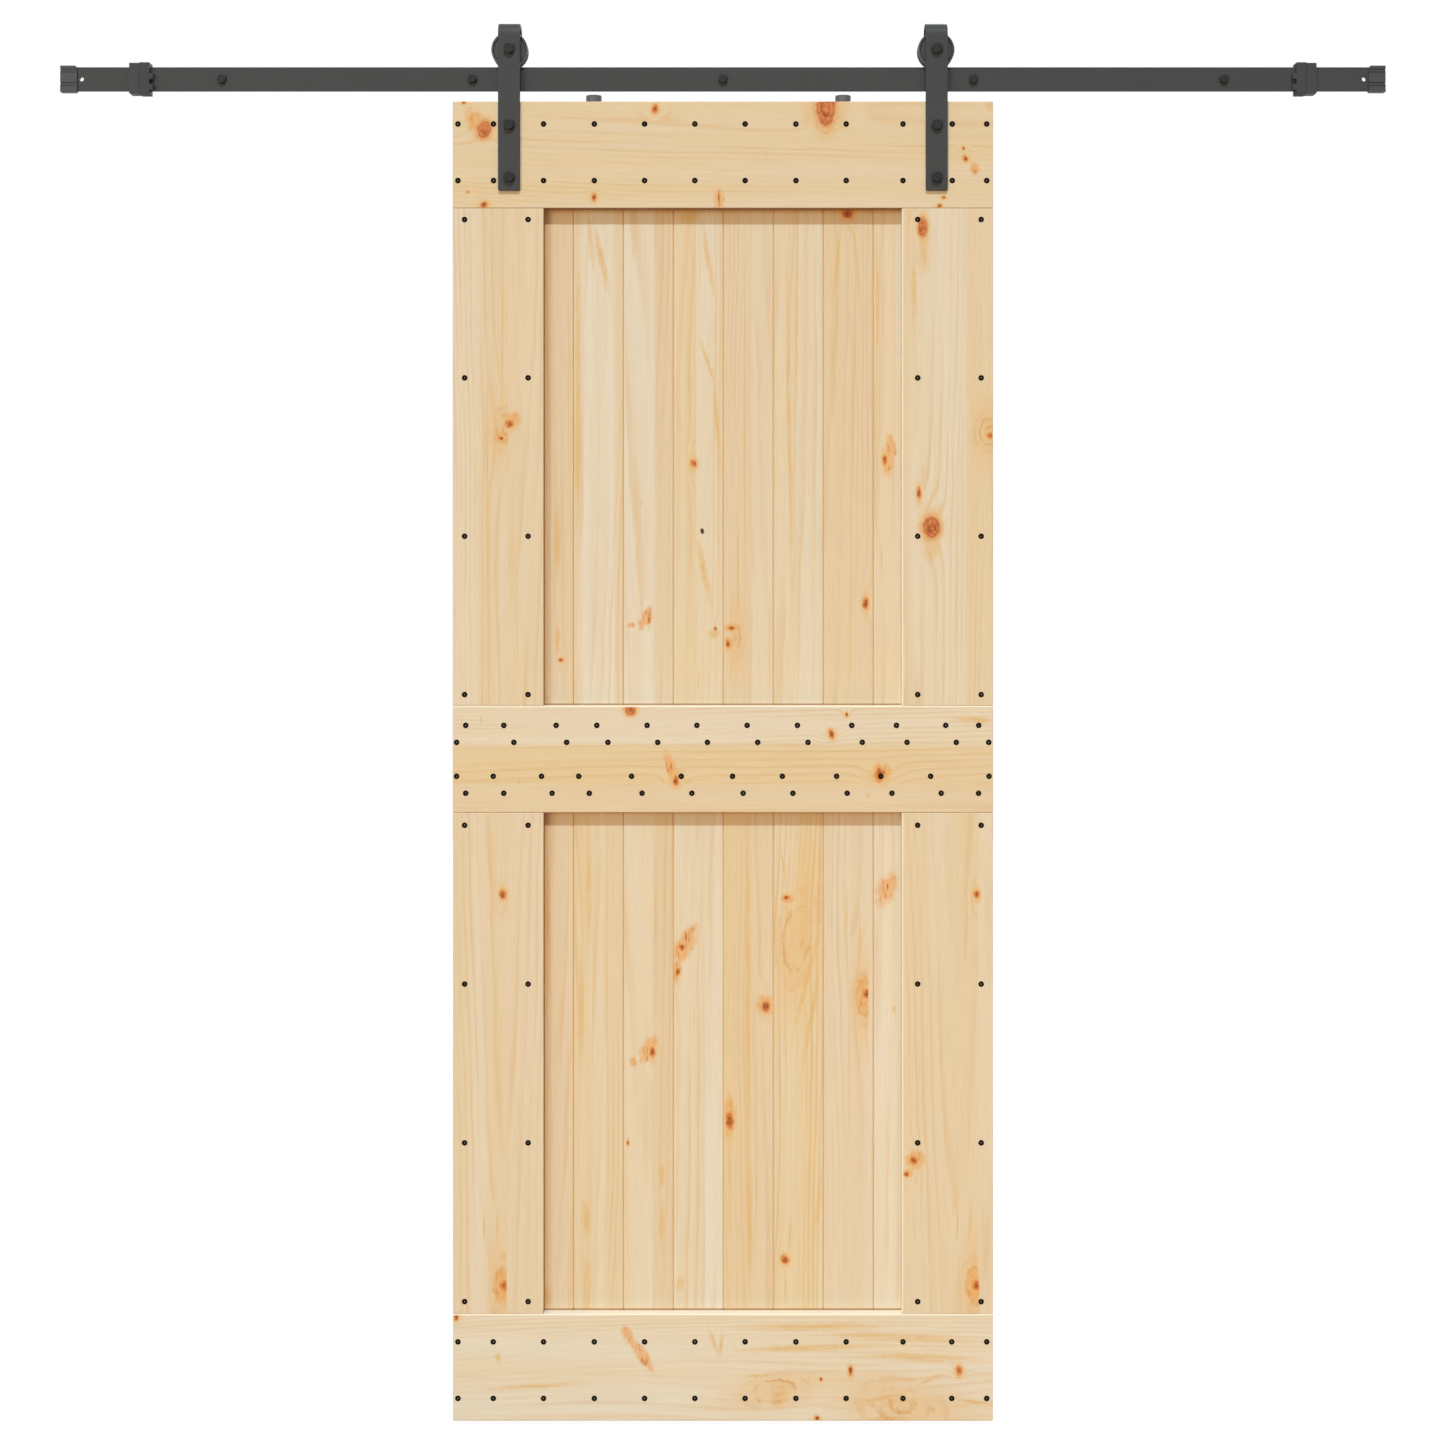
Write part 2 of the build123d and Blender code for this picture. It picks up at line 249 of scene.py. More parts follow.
def growthRings(tree, wood, pith, bulgeDistance):
    fromPith = calc(tree, "SUBTRACT", wood["across"], pith[0])
    drift = sway(tree, wood["log"], growth["driftScale"], detail=1.0)
    fromPith = calc(tree, "MULTIPLY_ADD", drift, growth["drift"], fromPith)
    fromPith = calc(tree, "MULTIPLY_ADD", wood["seed"], growth["seedShift"], fromPith)
    deep = calc(tree, "SUBTRACT", wood["depth"], pith[1])
    squares = calc(tree, "ADD", calc(tree, "POWER", fromPith, 2.0), calc(tree, "POWER", deep, 2.0))
    radius = calc(tree, "MULTIPLY_ADD", wood["along"], -growth["taper"], calc(tree, "SQRT", squares))
    radius = calc(tree, "MULTIPLY_ADD", wood["jitter"], growth["jitter"], radius)
    phase = calc(tree, "DIVIDE", radius, growth["pitch"])
    if bulgeDistance is not None:
        fall = calc(tree, "MULTIPLY", calc(tree, "POWER", bulgeDistance, 2.0), growth["bulgeFall"])
        phase = calc(tree, "MULTIPLY_ADD", calc(tree, "EXPONENT", fall), growth["bulgeRings"], phase)
    ring = ramp(tree, calc(tree, "FRACT", phase), growth["stops"])
    vividness = spread(tree, noise(tree, wood["log"], growth["vividScale"]), *growth["vividness"])
    return calc(tree, "MULTIPLY", ring, vividness)


# broad tone, then rings, then fibres
clearGrain = {
    "warmthScale": (30, 30, 0.9), "warmth": 1.3, "rosyScale": (21, 21, 0.6), "rosiness": 1.1,
    "fibreScale": (950, 950, 16), "fibreStops": [(0.3, grey(0.95)), (0.7, grey(1.02))],
}


def clearWood(tree, wood, golden, blush, line, fibre, strength):
    warmth = sway(tree, wood["log"], clearGrain["warmthScale"])
    golden = calc(tree, "MULTIPLY_ADD", warmth, clearGrain["warmth"], golden, clamp=True)
    rosiness = sway(tree, wood["log"], clearGrain["rosyScale"], detail=1.0)
    blush = calc(tree, "MULTIPLY_ADD", rosiness, clearGrain["rosiness"], blush, clamp=True)
    colour = mixColour(tree, golden, pine["pale"], pine["golden"])
    colour = mixColour(tree, blush, colour, pine["blush"])
    colour = mixColour(tree, calc(tree, "MULTIPLY", line, strength), colour, pine["lateWood"])
    return mixColour(tree, 1.0, colour, ramp(tree, fibre, clearGrain["fibreStops"]), "MULTIPLY")


# small knots have a blotched dark heart
knot = {
    "rim": paint(214, 122, 54), "heart": paint(146, 58, 18),
    "heartFade": (0.0, 0.9, 0.95, 0.0), "heartEdge": (0.5, 1.0, 1.0, 0.0),
    "blotchScale": (330, 330, 240), "blotches": (0.36, 0.62, -0.4, 0.4),
}


def knotBody(tree, wood, distance):
    blotch = spread(tree, noise(tree, wood["place"], knot["blotchScale"]), *knot["blotches"])
    core = calc(tree, "ADD", spread(tree, distance, *knot["heartFade"]), blotch, clamp=True)
    core = calc(tree, "MULTIPLY", core, spread(tree, distance, *knot["heartEdge"]))
    return mixColour(tree, core, knot["rim"], knot["heart"])


# marks in painting order, each with its unevenness and its layers: a fade by distance, crossed by ring lines
# (turns, wobble, stops) or broken by noise (in the log or in place, scale, detail, range)
# streaks are resin, swirls arcs round a hidden branch, patches feathered, eyes large cracked knots
swirlStops = [(0.0, grey(0.1)), (0.35, grey(0.25)), (0.66, grey(1.0)), (0.95, grey(0.1))]
eyeStops = [(0.0, grey(0.1)), (0.5, grey(0.25)), (0.75, grey(1.0)), (0.95, grey(0.1))]
frays = ("place", (260, 260, 55), 2.5)
cracks = ("place", (190, 190, 120), 2.0)
markLooks = {
    "streaks": (0.8, [dict(
        colour=paint(223, 174, 102), fade=(0.0, 1.3, 0.82, 0.0),
        breaks=("log", (260, 260, 22), 2.0, (0.3, 0.6, 0.5, 1.0)),
    )]),
    "swirls": (0.3, [dict(
        colour=paint(214, 156, 88), fade=(0.4, 1.25, 0.9, 0.0), rings=(2.8, 0.4, swirlStops),
        breaks=("place", (45, 45, 28), 1.0, (0.42, 0.62, 0.1, 1.0)),
    )]),
    "patches": (0.95, [
        dict(colour=paint(229, 158, 82), fade=(0.5, 1.2, 0.8, 0.0), breaks=(*frays, (0.25, 0.6, 0.6, 1.0))),
        dict(colour=paint(184, 94, 38), fade=(0.3, 1.05, 0.85, 0.0), breaks=(*frays, (0.54, 0.68, 0.0, 1.0))),
    ]),
    "eyes": (0.45, [
        dict(colour=pine["halo"], fade=(0.9, 1.9, 0.7, 0.0)),
        dict(colour=paint(216, 126, 62), fade=(0.8, 1.08, 0.9, 0.0)),
        dict(colour=paint(170, 74, 30), fade=(0.5, 1.5, 0.75, 0.0), rings=(2.4, 0.9, eyeStops)),
        dict(colour=knot["heart"], fade=(0.4, 0.95, 0.65, 0.0), breaks=(*cracks, (0.5, 0.6, 0.0, 1.0))),
    ]),
    "knots": (1.1, [
        dict(colour=pine["halo"], fade=(0.9, 2.4, 0.7, 0.0)),
        dict(colour=knotBody, fade=(0.6, 1.4, 0.97, 0.0)),
    ]),
    "pins": (0.5, [dict(colour=paint(66, 36, 18), fade=(0.8, 1.5, 1.0, 0.0))]),
}


def paintLayer(tree, wood, under, distance, colour, fade, rings=None, breaks=None):
    mask = spread(tree, distance, *fade)
    if rings:
        turns, wobble, stops = rings
        phase = calc(tree, "MULTIPLY_ADD", distance, turns, calc(tree, "MULTIPLY", wood["jitter"], wobble))
        mask = calc(tree, "MULTIPLY", mask, ramp(tree, calc(tree, "FRACT", phase), stops))
    if breaks:
        space, scale, detail, limits = breaks
        broken = spread(tree, noise(tree, wood[space], scale, detail), *limits)
        mask = calc(tree, "MULTIPLY", mask, broken)
    return mixColour(tree, mask, under, colour(tree, wood, distance) if callable(colour) else colour)


# where branches push the rings aside: wider than the marks, and longest along the grain
bulgeSize = {"wide": 1.7, "long": 4.0}


def bulgeMarks(sideways, marks):
    wide, tall = bulgeSize["wide"], bulgeSize["long"]
    if sideways:
        wide, tall = tall, wide
    bulges = []
    for kind in ("knots", "eyes", "swirls"):
        across, up = (wide, tall) if kind == "knots" else ((wide + 1) / 2, (tall + 1) / 2)
        for x, z, width, height, *more in marks.get(kind, ()):
            bulges.append((x, z, width * across, height * up, *more))
    return bulges


# plank edges are warm from the cutter down to the tongue; planks carry a painted warm shadow below the rail
# above and beside the left stile, painted shade above each ledge and beside the right stile, and a dark joint
panelEdge = {
    "seam": paint(242, 198, 140), "seamFade": (0.0006, 0.0016, 0.7, 0.0),
    "tongue": 0.006, "frontDepth": 0.004, "besideStile": 1.8,
    # ledgeShade: painted shade above each ledge and beside the right stile
    "ledgeShade": (0.87, 0.93, 0.99, 1.0), "ledgeShadeRise": (0.0, 0.05, 1.0, 0.0), "ledgeShadeBeside": (0.0, 0.02, 1.0, 0.0),
    # shadowWarm and deep: painted shadow tints below the rail above and beside the left stile, deeper near
    # the corner
    "shadowWarm": (1.08, 0.98, 0.83, 1.0), "shadowWarmFade": (0.014, 0.028, 1.0, 0.0),
    "deep": (1.0, 0.84, 0.64, 1.0), "deepFade": (0.001, 0.009, 1.0, 0.0),
    "joint": paint(160, 114, 66), "jointFade": (0.0012, 0.0036, 0.85, 0.0),
}


def tinted(tree, mask, colour, tint):
    return mixColour(tree, mask, colour, mixColour(tree, 1.0, colour, tint, "MULTIPLY"))


def paintPlankEdges(tree, node, place, colour):
    low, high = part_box(node)
    x, y, z = splitVector(tree, place)
    above, below = ("top_rail", "mid_rail") if "upper" in node else ("mid_rail", "bottom_rail")
    rightEdge = high[0] if node.endswith("12") else high[0] - panelEdge["tongue"]
    inset = calc(tree, "MINIMUM", calc(tree, "SUBTRACT", x, low[0]), calc(tree, "SUBTRACT", rightEdge, x))
    colour = mixColour(tree, spread(tree, inset, *panelEdge["seamFade"]), colour, panelEdge["seam"])
    onFront = calc(tree, "LESS_THAN", y, low[1] + panelEdge["frontDepth"])

    def frontMask(distance, fade):
        return calc(tree, "MULTIPLY", spread(tree, distance, *panelEdge[fade]), onFront)

    rise = calc(tree, "SUBTRACT", z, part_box(below)[1][2])
    beside = calc(tree, "SUBTRACT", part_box("upper_right_stile")[0][0], x)
    # painted shade: darker for 50 mm above the lower rail and within 20 mm of the right stile
    ledgeShade = calc(tree, "MAXIMUM", frontMask(rise, "ledgeShadeRise"), frontMask(beside, "ledgeShadeBeside"))
    colour = tinted(tree, ledgeShade, colour, panelEdge["ledgeShade"])
    # painted shadow: a warm tint fading out 28 mm below the rail above and 16 mm from the left stile, and a
    # deeper tint close to both
    drop = calc(tree, "SUBTRACT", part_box(above)[0][2], z)
    fromStile = calc(tree, "SUBTRACT", x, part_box("upper_left_stile")[1][0])
    fromShadowEdge = calc(tree, "MINIMUM", drop, calc(tree, "MULTIPLY", fromStile, panelEdge["besideStile"]))
    for tint in ("shadowWarm", "deep"):
        colour = tinted(tree, frontMask(fromShadowEdge, tint + "Fade"), colour, panelEdge[tint])
    return mixColour(tree, frontMask(calc(tree, "ABSOLUTE", rise), "jointFade"), colour, panelEdge["joint"])


# frame boards carry a painted highlight on the top edge of a rail or the left edge of a right stile, and
# painted shade on the underside of a rail or the right side of a left stile
frameEdge = {
    # litEdge: painted highlight on the board edges that face the light
    "litEdge": paint(250, 236, 210), "litEdgeFade": (0.0004, 0.0032, 0.9, 0.0),
    "litEdgeBoards": ("mid_rail", "bottom_rail", "upper_right_stile", "lower_right_stile"),
    # shadedSide: painted shade on rail undersides and on the right sides of the left stiles
    "shadedSide": paint(150, 88, 34), "shadedSideFade": (0.0001, 0.001, 0.85, 0.0),
    "shadedSideBoards": ("top_rail", "mid_rail", "upper_left_stile", "lower_left_stile"),
}


def paintFrameEdges(tree, node, sideways, across, colour):
    low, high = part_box(node)
    fromLow = calc(tree, "SUBTRACT", across, low[sideways])
    fromHigh = calc(tree, "SUBTRACT", high[sideways], across)
    litEdge, shadedSide = (fromHigh, fromLow) if sideways else (fromLow, fromHigh)
    # paint the highlight on the lit edge and the shade on the side facing away
    for edge, distance in (("litEdge", litEdge), ("shadedSide", shadedSide)):
        if node in frameEdge[edge + "Boards"]:
            mask = spread(tree, distance, *frameEdge[edge + "Fade"])
            colour = mixColour(tree, mask, colour, frameEdge[edge])
    return colour


# every strip is cut from another place in the log
cutting = {"across": 0.21, "depth": 0.13, "along": 9.7}


# strips are (start share, golden, blush, seed), rings is the strength of the ring lines, marks are oval marks
def pineMaterial(node, pith, strips, rings=growth["strength"], **marks):
    material, tree, shader = newMaterial("pine_" + node)
    low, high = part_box(node)
    place = objectPlace(tree)
    sideways, lengthways = grainAxes(node)
    parts = splitVector(tree, place)
    across = parts[sideways]
    share = calc(tree, "SUBTRACT", across, low[sideways])
    share = calc(tree, "DIVIDE", share, high[sideways] - low[sideways])
    seed, golden, blush = stripTones(tree, share, strips)
    wood = {"place": place, "across": across, "depth": parts[1], "along": parts[lengthways], "seed": seed}
    shifts = [calc(tree, "MULTIPLY_ADD", seed, shift, wood[way]) for way, shift in cutting.items()]
    wood["log"] = joinVector(tree, *shifts)
    wood["jitter"] = sway(tree, wood["log"], growth["jitterScale"])
    lumps = sway(tree, place, pine["lumpScale"], detail=1.5)
    bulgeDistance = nearestMark(tree, place, bulgeMarks(sideways, marks))

    line = growthRings(tree, wood, pith, bulgeDistance)
    fibre = noise(tree, wood["log"], clearGrain["fibreScale"], detail=3.0)
    colour = clearWood(tree, wood, golden, blush, line, fibre, rings)
    if bulgeDistance is not None:
        uneven = calc(tree, "MULTIPLY_ADD", lumps, pine["haloUneven"], bulgeDistance)
        colour = mixColour(tree, spread(tree, uneven, *pine["haloFade"]), colour, pine["halo"])
    for kind, (unevenness, layers) in markLooks.items():
        if kind in marks:
            nearest = nearestMark(tree, place, marks[kind])
            distance = calc(tree, "MULTIPLY_ADD", lumps, unevenness, nearest)
            for layer in layers:
                colour = paintLayer(tree, wood, colour, distance, **layer)
    if "plank" in node:
        colour = paintPlankEdges(tree, node, place, colour)
    else:
        colour = paintFrameEdges(tree, node, sideways, across, colour)

    feed(tree, shader.inputs["Base Color"], colour)
    feed(tree, shader.inputs["Roughness"], spread(tree, fibre, *pine["roughness"]))
    shader.inputs["Specular IOR Level"].default_value = pine["specular"]
    height = calc(tree, "MULTIPLY", line, pine["bumpRings"])
    height = calc(tree, "MULTIPLY_ADD", fibre, pine["bumpFibres"], height)
    bump(tree, shader, height, pine["bumpStrength"], pine["bumpHeight"])
    return material


# boards: pith (across, depth) in metres, glued strips, and marks in mm
boards = {
    "top_rail": dict(
        pith=(-0.02, 0.05), rings=0.5, strips=[(0.0, 0.57, 0.2, 0.31)],
        knots=[(-108, -12, 4.8, 7.2), (-205, -153, 3.8, 6.4), (-412, -2, 3.2, 3.2),
               (-380, -165, 6.4, 4.8), (-406, -144, 1.9, 2.2), (383, -75, 2.4, 2.7),
               (386, -91, 3.8, 5.1, 20), (352, -153, 3.2, 2.9), (345, -166, 3.8, 3.2)],
        eyes=[(-380, -45, 12, 16, -15), (164, -10, 17, 34)],
        patches=[(-394, -32, 15, 24, 25), (-6, -155, 9, 18), (401, -107, 8, 12, 20)],
        streaks=[(182, -45, 14.3, 2.5, 35), (69, -83, 1.6, 8), (425, -8, 8, 8)],
    ),
    "mid_rail": dict(
        pith=(-1.12, 0.07),
        strips=[(0.0, 0.74, 0.5, 0.12), (0.27, 0.84, 0.1, 0.55), (0.645, 0.17, 0.05, 0.83)],
        knots=[(-75, -1081, 4.8, 9), (173, -1007, 4.4, 7.2, 15), (197, -976, 2.5, 3.8),
               (250, -1071, 8.4, 11)],
        eyes=[(-147, -969, 9.5, 9.5)],
        patches=[(-82, -1062, 9, 30, 18), (254, -1066, 15, 13)],
        streaks=[(409, -982, 34, 3.4, -2), (400, -985, 46, 7, -2), (-385, -985, 2.4, 8),
                 (-324, -1084, 3.2, 3.2), (231, -1105, 3.2, 6.4)],
    ),
    "bottom_rail": dict(
        pith=(-2.1, 0.06), rings=0.34, strips=[(0.0, 0.22, 0.0, 0.64)],
        knots=[(203, -2021, 3.2, 8), (376, -2020, 4.8, 8), (156, -2034, 2.2, 2.9), (150, -2096, 3.8, 3.8),
               (-424, -1934, 4.1, 6.4)],
        patches=[(-152, -1962, 9, 17, 20), (-128, -1995, 10, 32, 32), (-140, -1980, 7, 14, 40)],
        swirls=[(83, -2053, 58, 30, 8), (285, -2076, 78, 46, -12)],
        streaks=[(55, -2028, 25.5, 2.1, 2), (-358, -1999, 6.4, 9.5), (330, -2034, 26, 4, 25),
                 (91, -2059, 16, 22, -20), (-15, -1973, 4, 31, 18), (-3, -1979, 4, 25, -6),
                 (260, -2062, 40, 4, 12), (-300, -2045, 90, 5, 4), (400, -2070, 40, 4, -10),
                 (250, -2098, 60, 5, 4), (150, -1950, 150, 8, 1), (270, -1966, 130, 9, -2),
                 (130, -1984, 120, 7, 2), (320, -2000, 110, 9, -3)],
    ),
    "upper_left_stile": dict(
        pith=(-0.27, 0.05),
        strips=[(0.0, 0.13, 0.2, 0.2), (0.3, 0.55, 0.4, 0.55), (0.72, 0.52, 0.35, 0.8)],
        knots=[(-339, -514, 6.4, 6.4), (-353, -536, 4.4, 3.2)],
        patches=[(-334, -506, 14, 13, 30), (-352, -535, 13, 8)], swirls=[(-343, -522, 30, 38, 0, -342)],
        streaks=[(-375, -635, 1.9, 255), (-351, -364, 1.9, 143)],
    ),
    "upper_right_stile": dict(
        pith=(0.33, 0.06), strips=[(0.0, 0.45, 0.1, 0.15), (0.2, 0.2, 0.2, 0.42), (0.7, 0.45, 0.25, 0.7)],
        knots=[(312, -624, 3.6, 9.5), (425, -532, 4.8, 5)],
        eyes=[(318, -201, 8.5, 17), (332, -678, 15.5, 19.5)], swirls=[(424, -526, 26, 36)],
        streaks=[(320, -245, 11, 32), (332, -719, 13, 16), (304, -301, 4.8, 64), (298, -180, 2, 30, -12)],
    ),
    "lower_left_stile": dict(
        pith=(-0.3, 0.05), strips=[(0.0, 0.45, 0.4, 0.36), (0.58, 0.3, 0.3, 0.61)],
        knots=[(-350, -1262, 5.4, 7.6), (-348, -1885, 6.5, 8, 0, -344)],
        patches=[(-352, -1884, 14, 30, 0, -344)], swirls=[(-350, -1885, 24, 50, 0, -344)],
        streaks=[(-359, -1790, 2.1, 32, -2), (-380, -1790, 1.8, 29, -1)],
    ),
    "lower_right_stile": dict(
        pith=(0.44, 0.05), strips=[(0.0, 0.6, 0.35, 0.74), (0.84, 0.45, 0.2, 0.28)],
        knots=[(404, -1262, 4.8, 6.7), (403, -1885, 6.5, 8, 0, 408), (304, -1686, 6.4, 6.8),
               (292, -1707, 4.2, 4)],
        patches=[(399, -1884, 14, 30, 0, 408), (306, -1684, 18, 15), (294, -1706, 9, 8)],
        swirls=[(401, -1885, 24, 50, 0, 408)],
        streaks=[(394, -1790, 2.1, 32, -2), (373, -1790, 1.8, 29, -1)],
    ),
    "upper_plank_01": dict(pith=(-0.36, 0.05), strips=[(0.0, 0.4, 0.3, 0.3)], knots=[(-414, -606, 5, 7)]),
    "upper_plank_02": dict(
        pith=(-0.36, 0.06), strips=[(0.0, 0.3, 0.2, 0.7), (0.55, 0.5, 0.4, 0.2)],
        knots=[(-351, -386, 6, 8), (-379, -826, 4, 6)],
    ),
    "upper_plank_03": dict(
        pith=(-0.2, 0.05), strips=[(0.0, 0.35, 0.8, 0.1)], knots=[(-259, -890, 4.8, 3.2)],
        streaks=[(-265, -699, 6.4, 72), (-265, -858, 4.8, 32)],
    ),
    "upper_plank_04": dict(
        pith=(-0.2, 0.06),
        strips=[(0.0, 0.45, 0.1, 0.33), (0.18, 0.04, 0.1, 0.47), (0.76, 0.25, 0.35, 0.62)],
        streaks=[(-194, -250, 6.4, 64, 12), (-211, -221, 4.8, 48, 6), (-232, -476, 4.8, 286)],
    ),
    "upper_plank_05": dict(
        pith=(-0.1, 0.07), strips=[(0.0, 0.06, 0.1, 0.22), (0.58, 0.2, 0.8, 0.71)],
        knots=[(-118, -826, 2.9, 4.8)], patches=[(-124, -822, 10, 22, -25), (-146, -835, 7, 5)],
        streaks=[(-130, -639, 2.5, 6.4)],
    ),
    "upper_plank_06": dict(
        pith=(-0.05, 0.04), strips=[(0.0, 0.62, 0.1, 0.37), (0.42, 0.33, 0.05, 0.52)],
        knots=[(-47, -575, 5.4, 6.7), (-12, -840, 2.2, 3.0)],
        streaks=[(-23, -250, 5.6, 67, 10), (-24, -415, 4.1, 41, 19), (-9, -516, 4.1, 99, 4),
                 (-55, -180, 19, 16), (-15, -848, 11, 9.5), (-30, -750, 6.4, 57, 12),
                 (-39, -926, 1.4, 22)],
        pins=[(-33, -684, 2.6, 3.9, 10)],
    ),
    "upper_plank_07": dict(
        pith=(0.16, 0.05), strips=[(0.0, 0.45, 0.6, 0.16), (0.52, 0.16, 0.35, 0.81)],
        knots=[(14, -839, 4.8, 3.2), (8, -864, 3.2, 6.4)], patches=[(12, -838, 13, 6), (9, -862, 7, 12)],
        swirls=[(13, -854, 26, 40, 0, 12)], streaks=[(35, -508, 2.1, 318), (24, -730, 1.9, 111)],
    ),
    "upper_plank_08": dict(
        pith=(0.12, 0.08), strips=[(0.0, 0.45, 0.1, 0.57), (0.42, 0.3, 0.1, 0.26)],
        streaks=[(106, -508, 3.8, 286, 1), (118, -364, 2.9, 143)],
    ),
    "upper_plank_09": dict(
        pith=(0.2, 0.035), strips=[(0.0, 0.53, 0.55, 0.41), (0.6, 0.45, 0.85, 0.66)],
        knots=[(200, -175, 9.5, 8), (228, -799, 4.8, 9.5)],
        streaks=[(183, -253, 3.2, 80, -6), (214, -253, 3.2, 80, 5)],
    ),
    "upper_plank_10": dict(
        pith=(0.3, 0.06), strips=[(0.0, 0.4, 0.25, 0.76)], knots=[(259, -570, 3.5, 7)],
        patches=[(264, -572, 11, 24), (270, -548, 8, 20, 15)],
        streaks=[(247, -317, 3.5, 105), (254, -730, 1.6, 32)],
    ),
    "upper_plank_11": dict(
        pith=(0.35, 0.05), strips=[(0.0, 0.35, 0.3, 0.44), (0.6, 0.5, 0.2, 0.9)],
        knots=[(347, -346, 6, 9), (380, -866, 4, 5)],
    ),
    "upper_plank_12": dict(pith=(0.45, 0.05), strips=[(0.0, 0.45, 0.2, 0.58)], knots=[(415, -726, 5, 7)]),
    "lower_plank_01": dict(
        pith=(-0.4, 0.06), strips=[(0.0, 0.35, 0.35, 0.85)], knots=[(-415, -1466, 5, 6)],
    ),
    "lower_plank_02": dict(
        pith=(-0.33, 0.05), strips=[(0.0, 0.45, 0.2, 0.51), (0.5, 0.25, 0.4, 0.13)],
        knots=[(-371, -1346, 6, 8), (-345, -1806, 5, 6)],
    ),
    "lower_plank_03": dict(
        pith=(-0.24, 0.06), strips=[(0.0, 0.55, 0.75, 0.5)],
        streaks=[(-280, -1319, 4.8, 127), (-281, -1908, 8, 19)],
    ),
    "lower_plank_04": dict(
        pith=(-0.18, 0.045),
        strips=[(0.0, 0.8, 0.1, 0.21), (0.34, 0.3, 0.15, 0.63), (0.6, 0.65, 0.3, 0.86)],
        streaks=[(-215, -1256, 5.7, 92), (-227, -1447, 6.4, 95), (-219, -1786, 8.8, 38),
                 (-218, -1892, 8, 64)],
    ),
    "lower_plank_05": dict(
        pith=(-0.1, 0.06), strips=[(0.0, 0.46, 0.15, 0.32), (0.55, 0.8, 0.9, 0.56)],
        knots=[(-113, -1517, 4.5, 8), (-152, -1663, 2.4, 3.8)],
        patches=[(-119, -1512, 12, 24, -25), (-144, -1533, 6, 9, 20)],
        streaks=[(-108, -1295, 1.4, 95), (-98, -1794, 6.4, 41), (-98, -1714, 6.4, 25)],
    ),
    "lower_plank_06": dict(
        pith=(-0.04, 0.07), strips=[(0.0, 0.4, 0.25, 0.67), (0.58, 0.1, 0.05, 0.11)],
        knots=[(-66, -1350, 5.4, 5.4), (-72, -1390, 3.8, 6.4)],
        patches=[(-60, -1345, 16, 36, -28), (-74, -1385, 8, 24, -10)],
        streaks=[(-46, -1463, 1.4, 38), (-68, -1889, 8, 14, -20)],
    ),
    "lower_plank_07": dict(
        pith=(0.13, 0.05), strips=[(0.0, 1.0, 0.35, 0.27), (0.5, 0.6, 0.55, 0.46)],
        knots=[(69, -1445, 7.4, 8.3), (11, -1628, 6.6, 13)],
        patches=[(66, -1440, 12, 14, 20), (11, -1620, 10, 32)],
        streaks=[(11, -1717, 1.9, 95), (11, -1660, 1.9, 45), (40, -1431, 4.8, 350), (43, -1781, 6.4, 95)],
    ),
    "lower_plank_08": dict(
        pith=(0.12, 0.03), rings=0.75, strips=[(0.0, 0.67, 0.05, 0.72)],
        knots=[(102, -1270, 5.1, 3.8), (99, -1850, 6.2, 6.4)], patches=[(103, -1272, 14, 7, 8)],
        swirls=[(118, -1335, 36, 84, -8)],
        streaks=[(96, -1216, 1.8, 48, 8), (100, -1892, 1.8, 41), (107, -1813, 3.5, 32, -3),
                 (133, -1407, 4.1, 95, -14), (144, -1447, 4.1, 111, -10), (152, -1765, 4.8, 64, -5),
                 (155, -1256, 4, 111)],
    ),
    "lower_plank_09": dict(
        pith=(0.28, 0.06), strips=[(0.0, 0.27, 0.6, 0.17), (0.5, 0.22, 0.4, 0.91)],
        knots=[(229, -1424, 5.5, 7.3, 0, 233)], patches=[(224, -1425, 12, 32, 0, 233)],
        swirls=[(226, -1430, 22, 46, 0, 233)], streaks=[(219, -1335, 2.1, 43, -2), (198, -1303, 1.6, 48)],
    ),
    "lower_plank_10": dict(
        pith=(0.26, 0.08), strips=[(0.0, 0.3, 0.12, 0.35)], patches=[(262, -1256, 16, 32, -25)],
        streaks=[(274, -1449, 3.2, 6.4)],
    ),
    "lower_plank_11": dict(
        pith=(0.36, 0.06), strips=[(0.0, 0.5, 0.25, 0.78), (0.45, 0.3, 0.3, 0.36)],
        knots=[(352, -1616, 6, 8), (380, -1266, 4, 6)],
    ),
    "lower_plank_12": dict(pith=(0.41, 0.05), strips=[(0.0, 0.4, 0.3, 0.14)], knots=[(416, -1846, 5, 6)]),
}


def dress(node, material):
    nodes[node].material_slots[0].material = material


for board, look in boards.items():
    if "plank" in board:
        dress(board, pineMaterial(board, **look))
print("planks dressed")


# painted and moulded finishes
coating = {
    "cloudScale": (14, 14, 14), "cloudRange": (0.3, 0.75), "roughSpan": 0.06, "bumpStrength": 0.35,
    "speckles": [(0.35, grey(0.9)), (0.65, grey(1.0))],
    # groove, grooveShadeShare and grooveShadeFade paint near-black shade into the grooves
    "groove": grey(0.008), "grooveShadeShare": (0.6, 1.3), "grooveShadeFade": (0.8, 0.0),
}
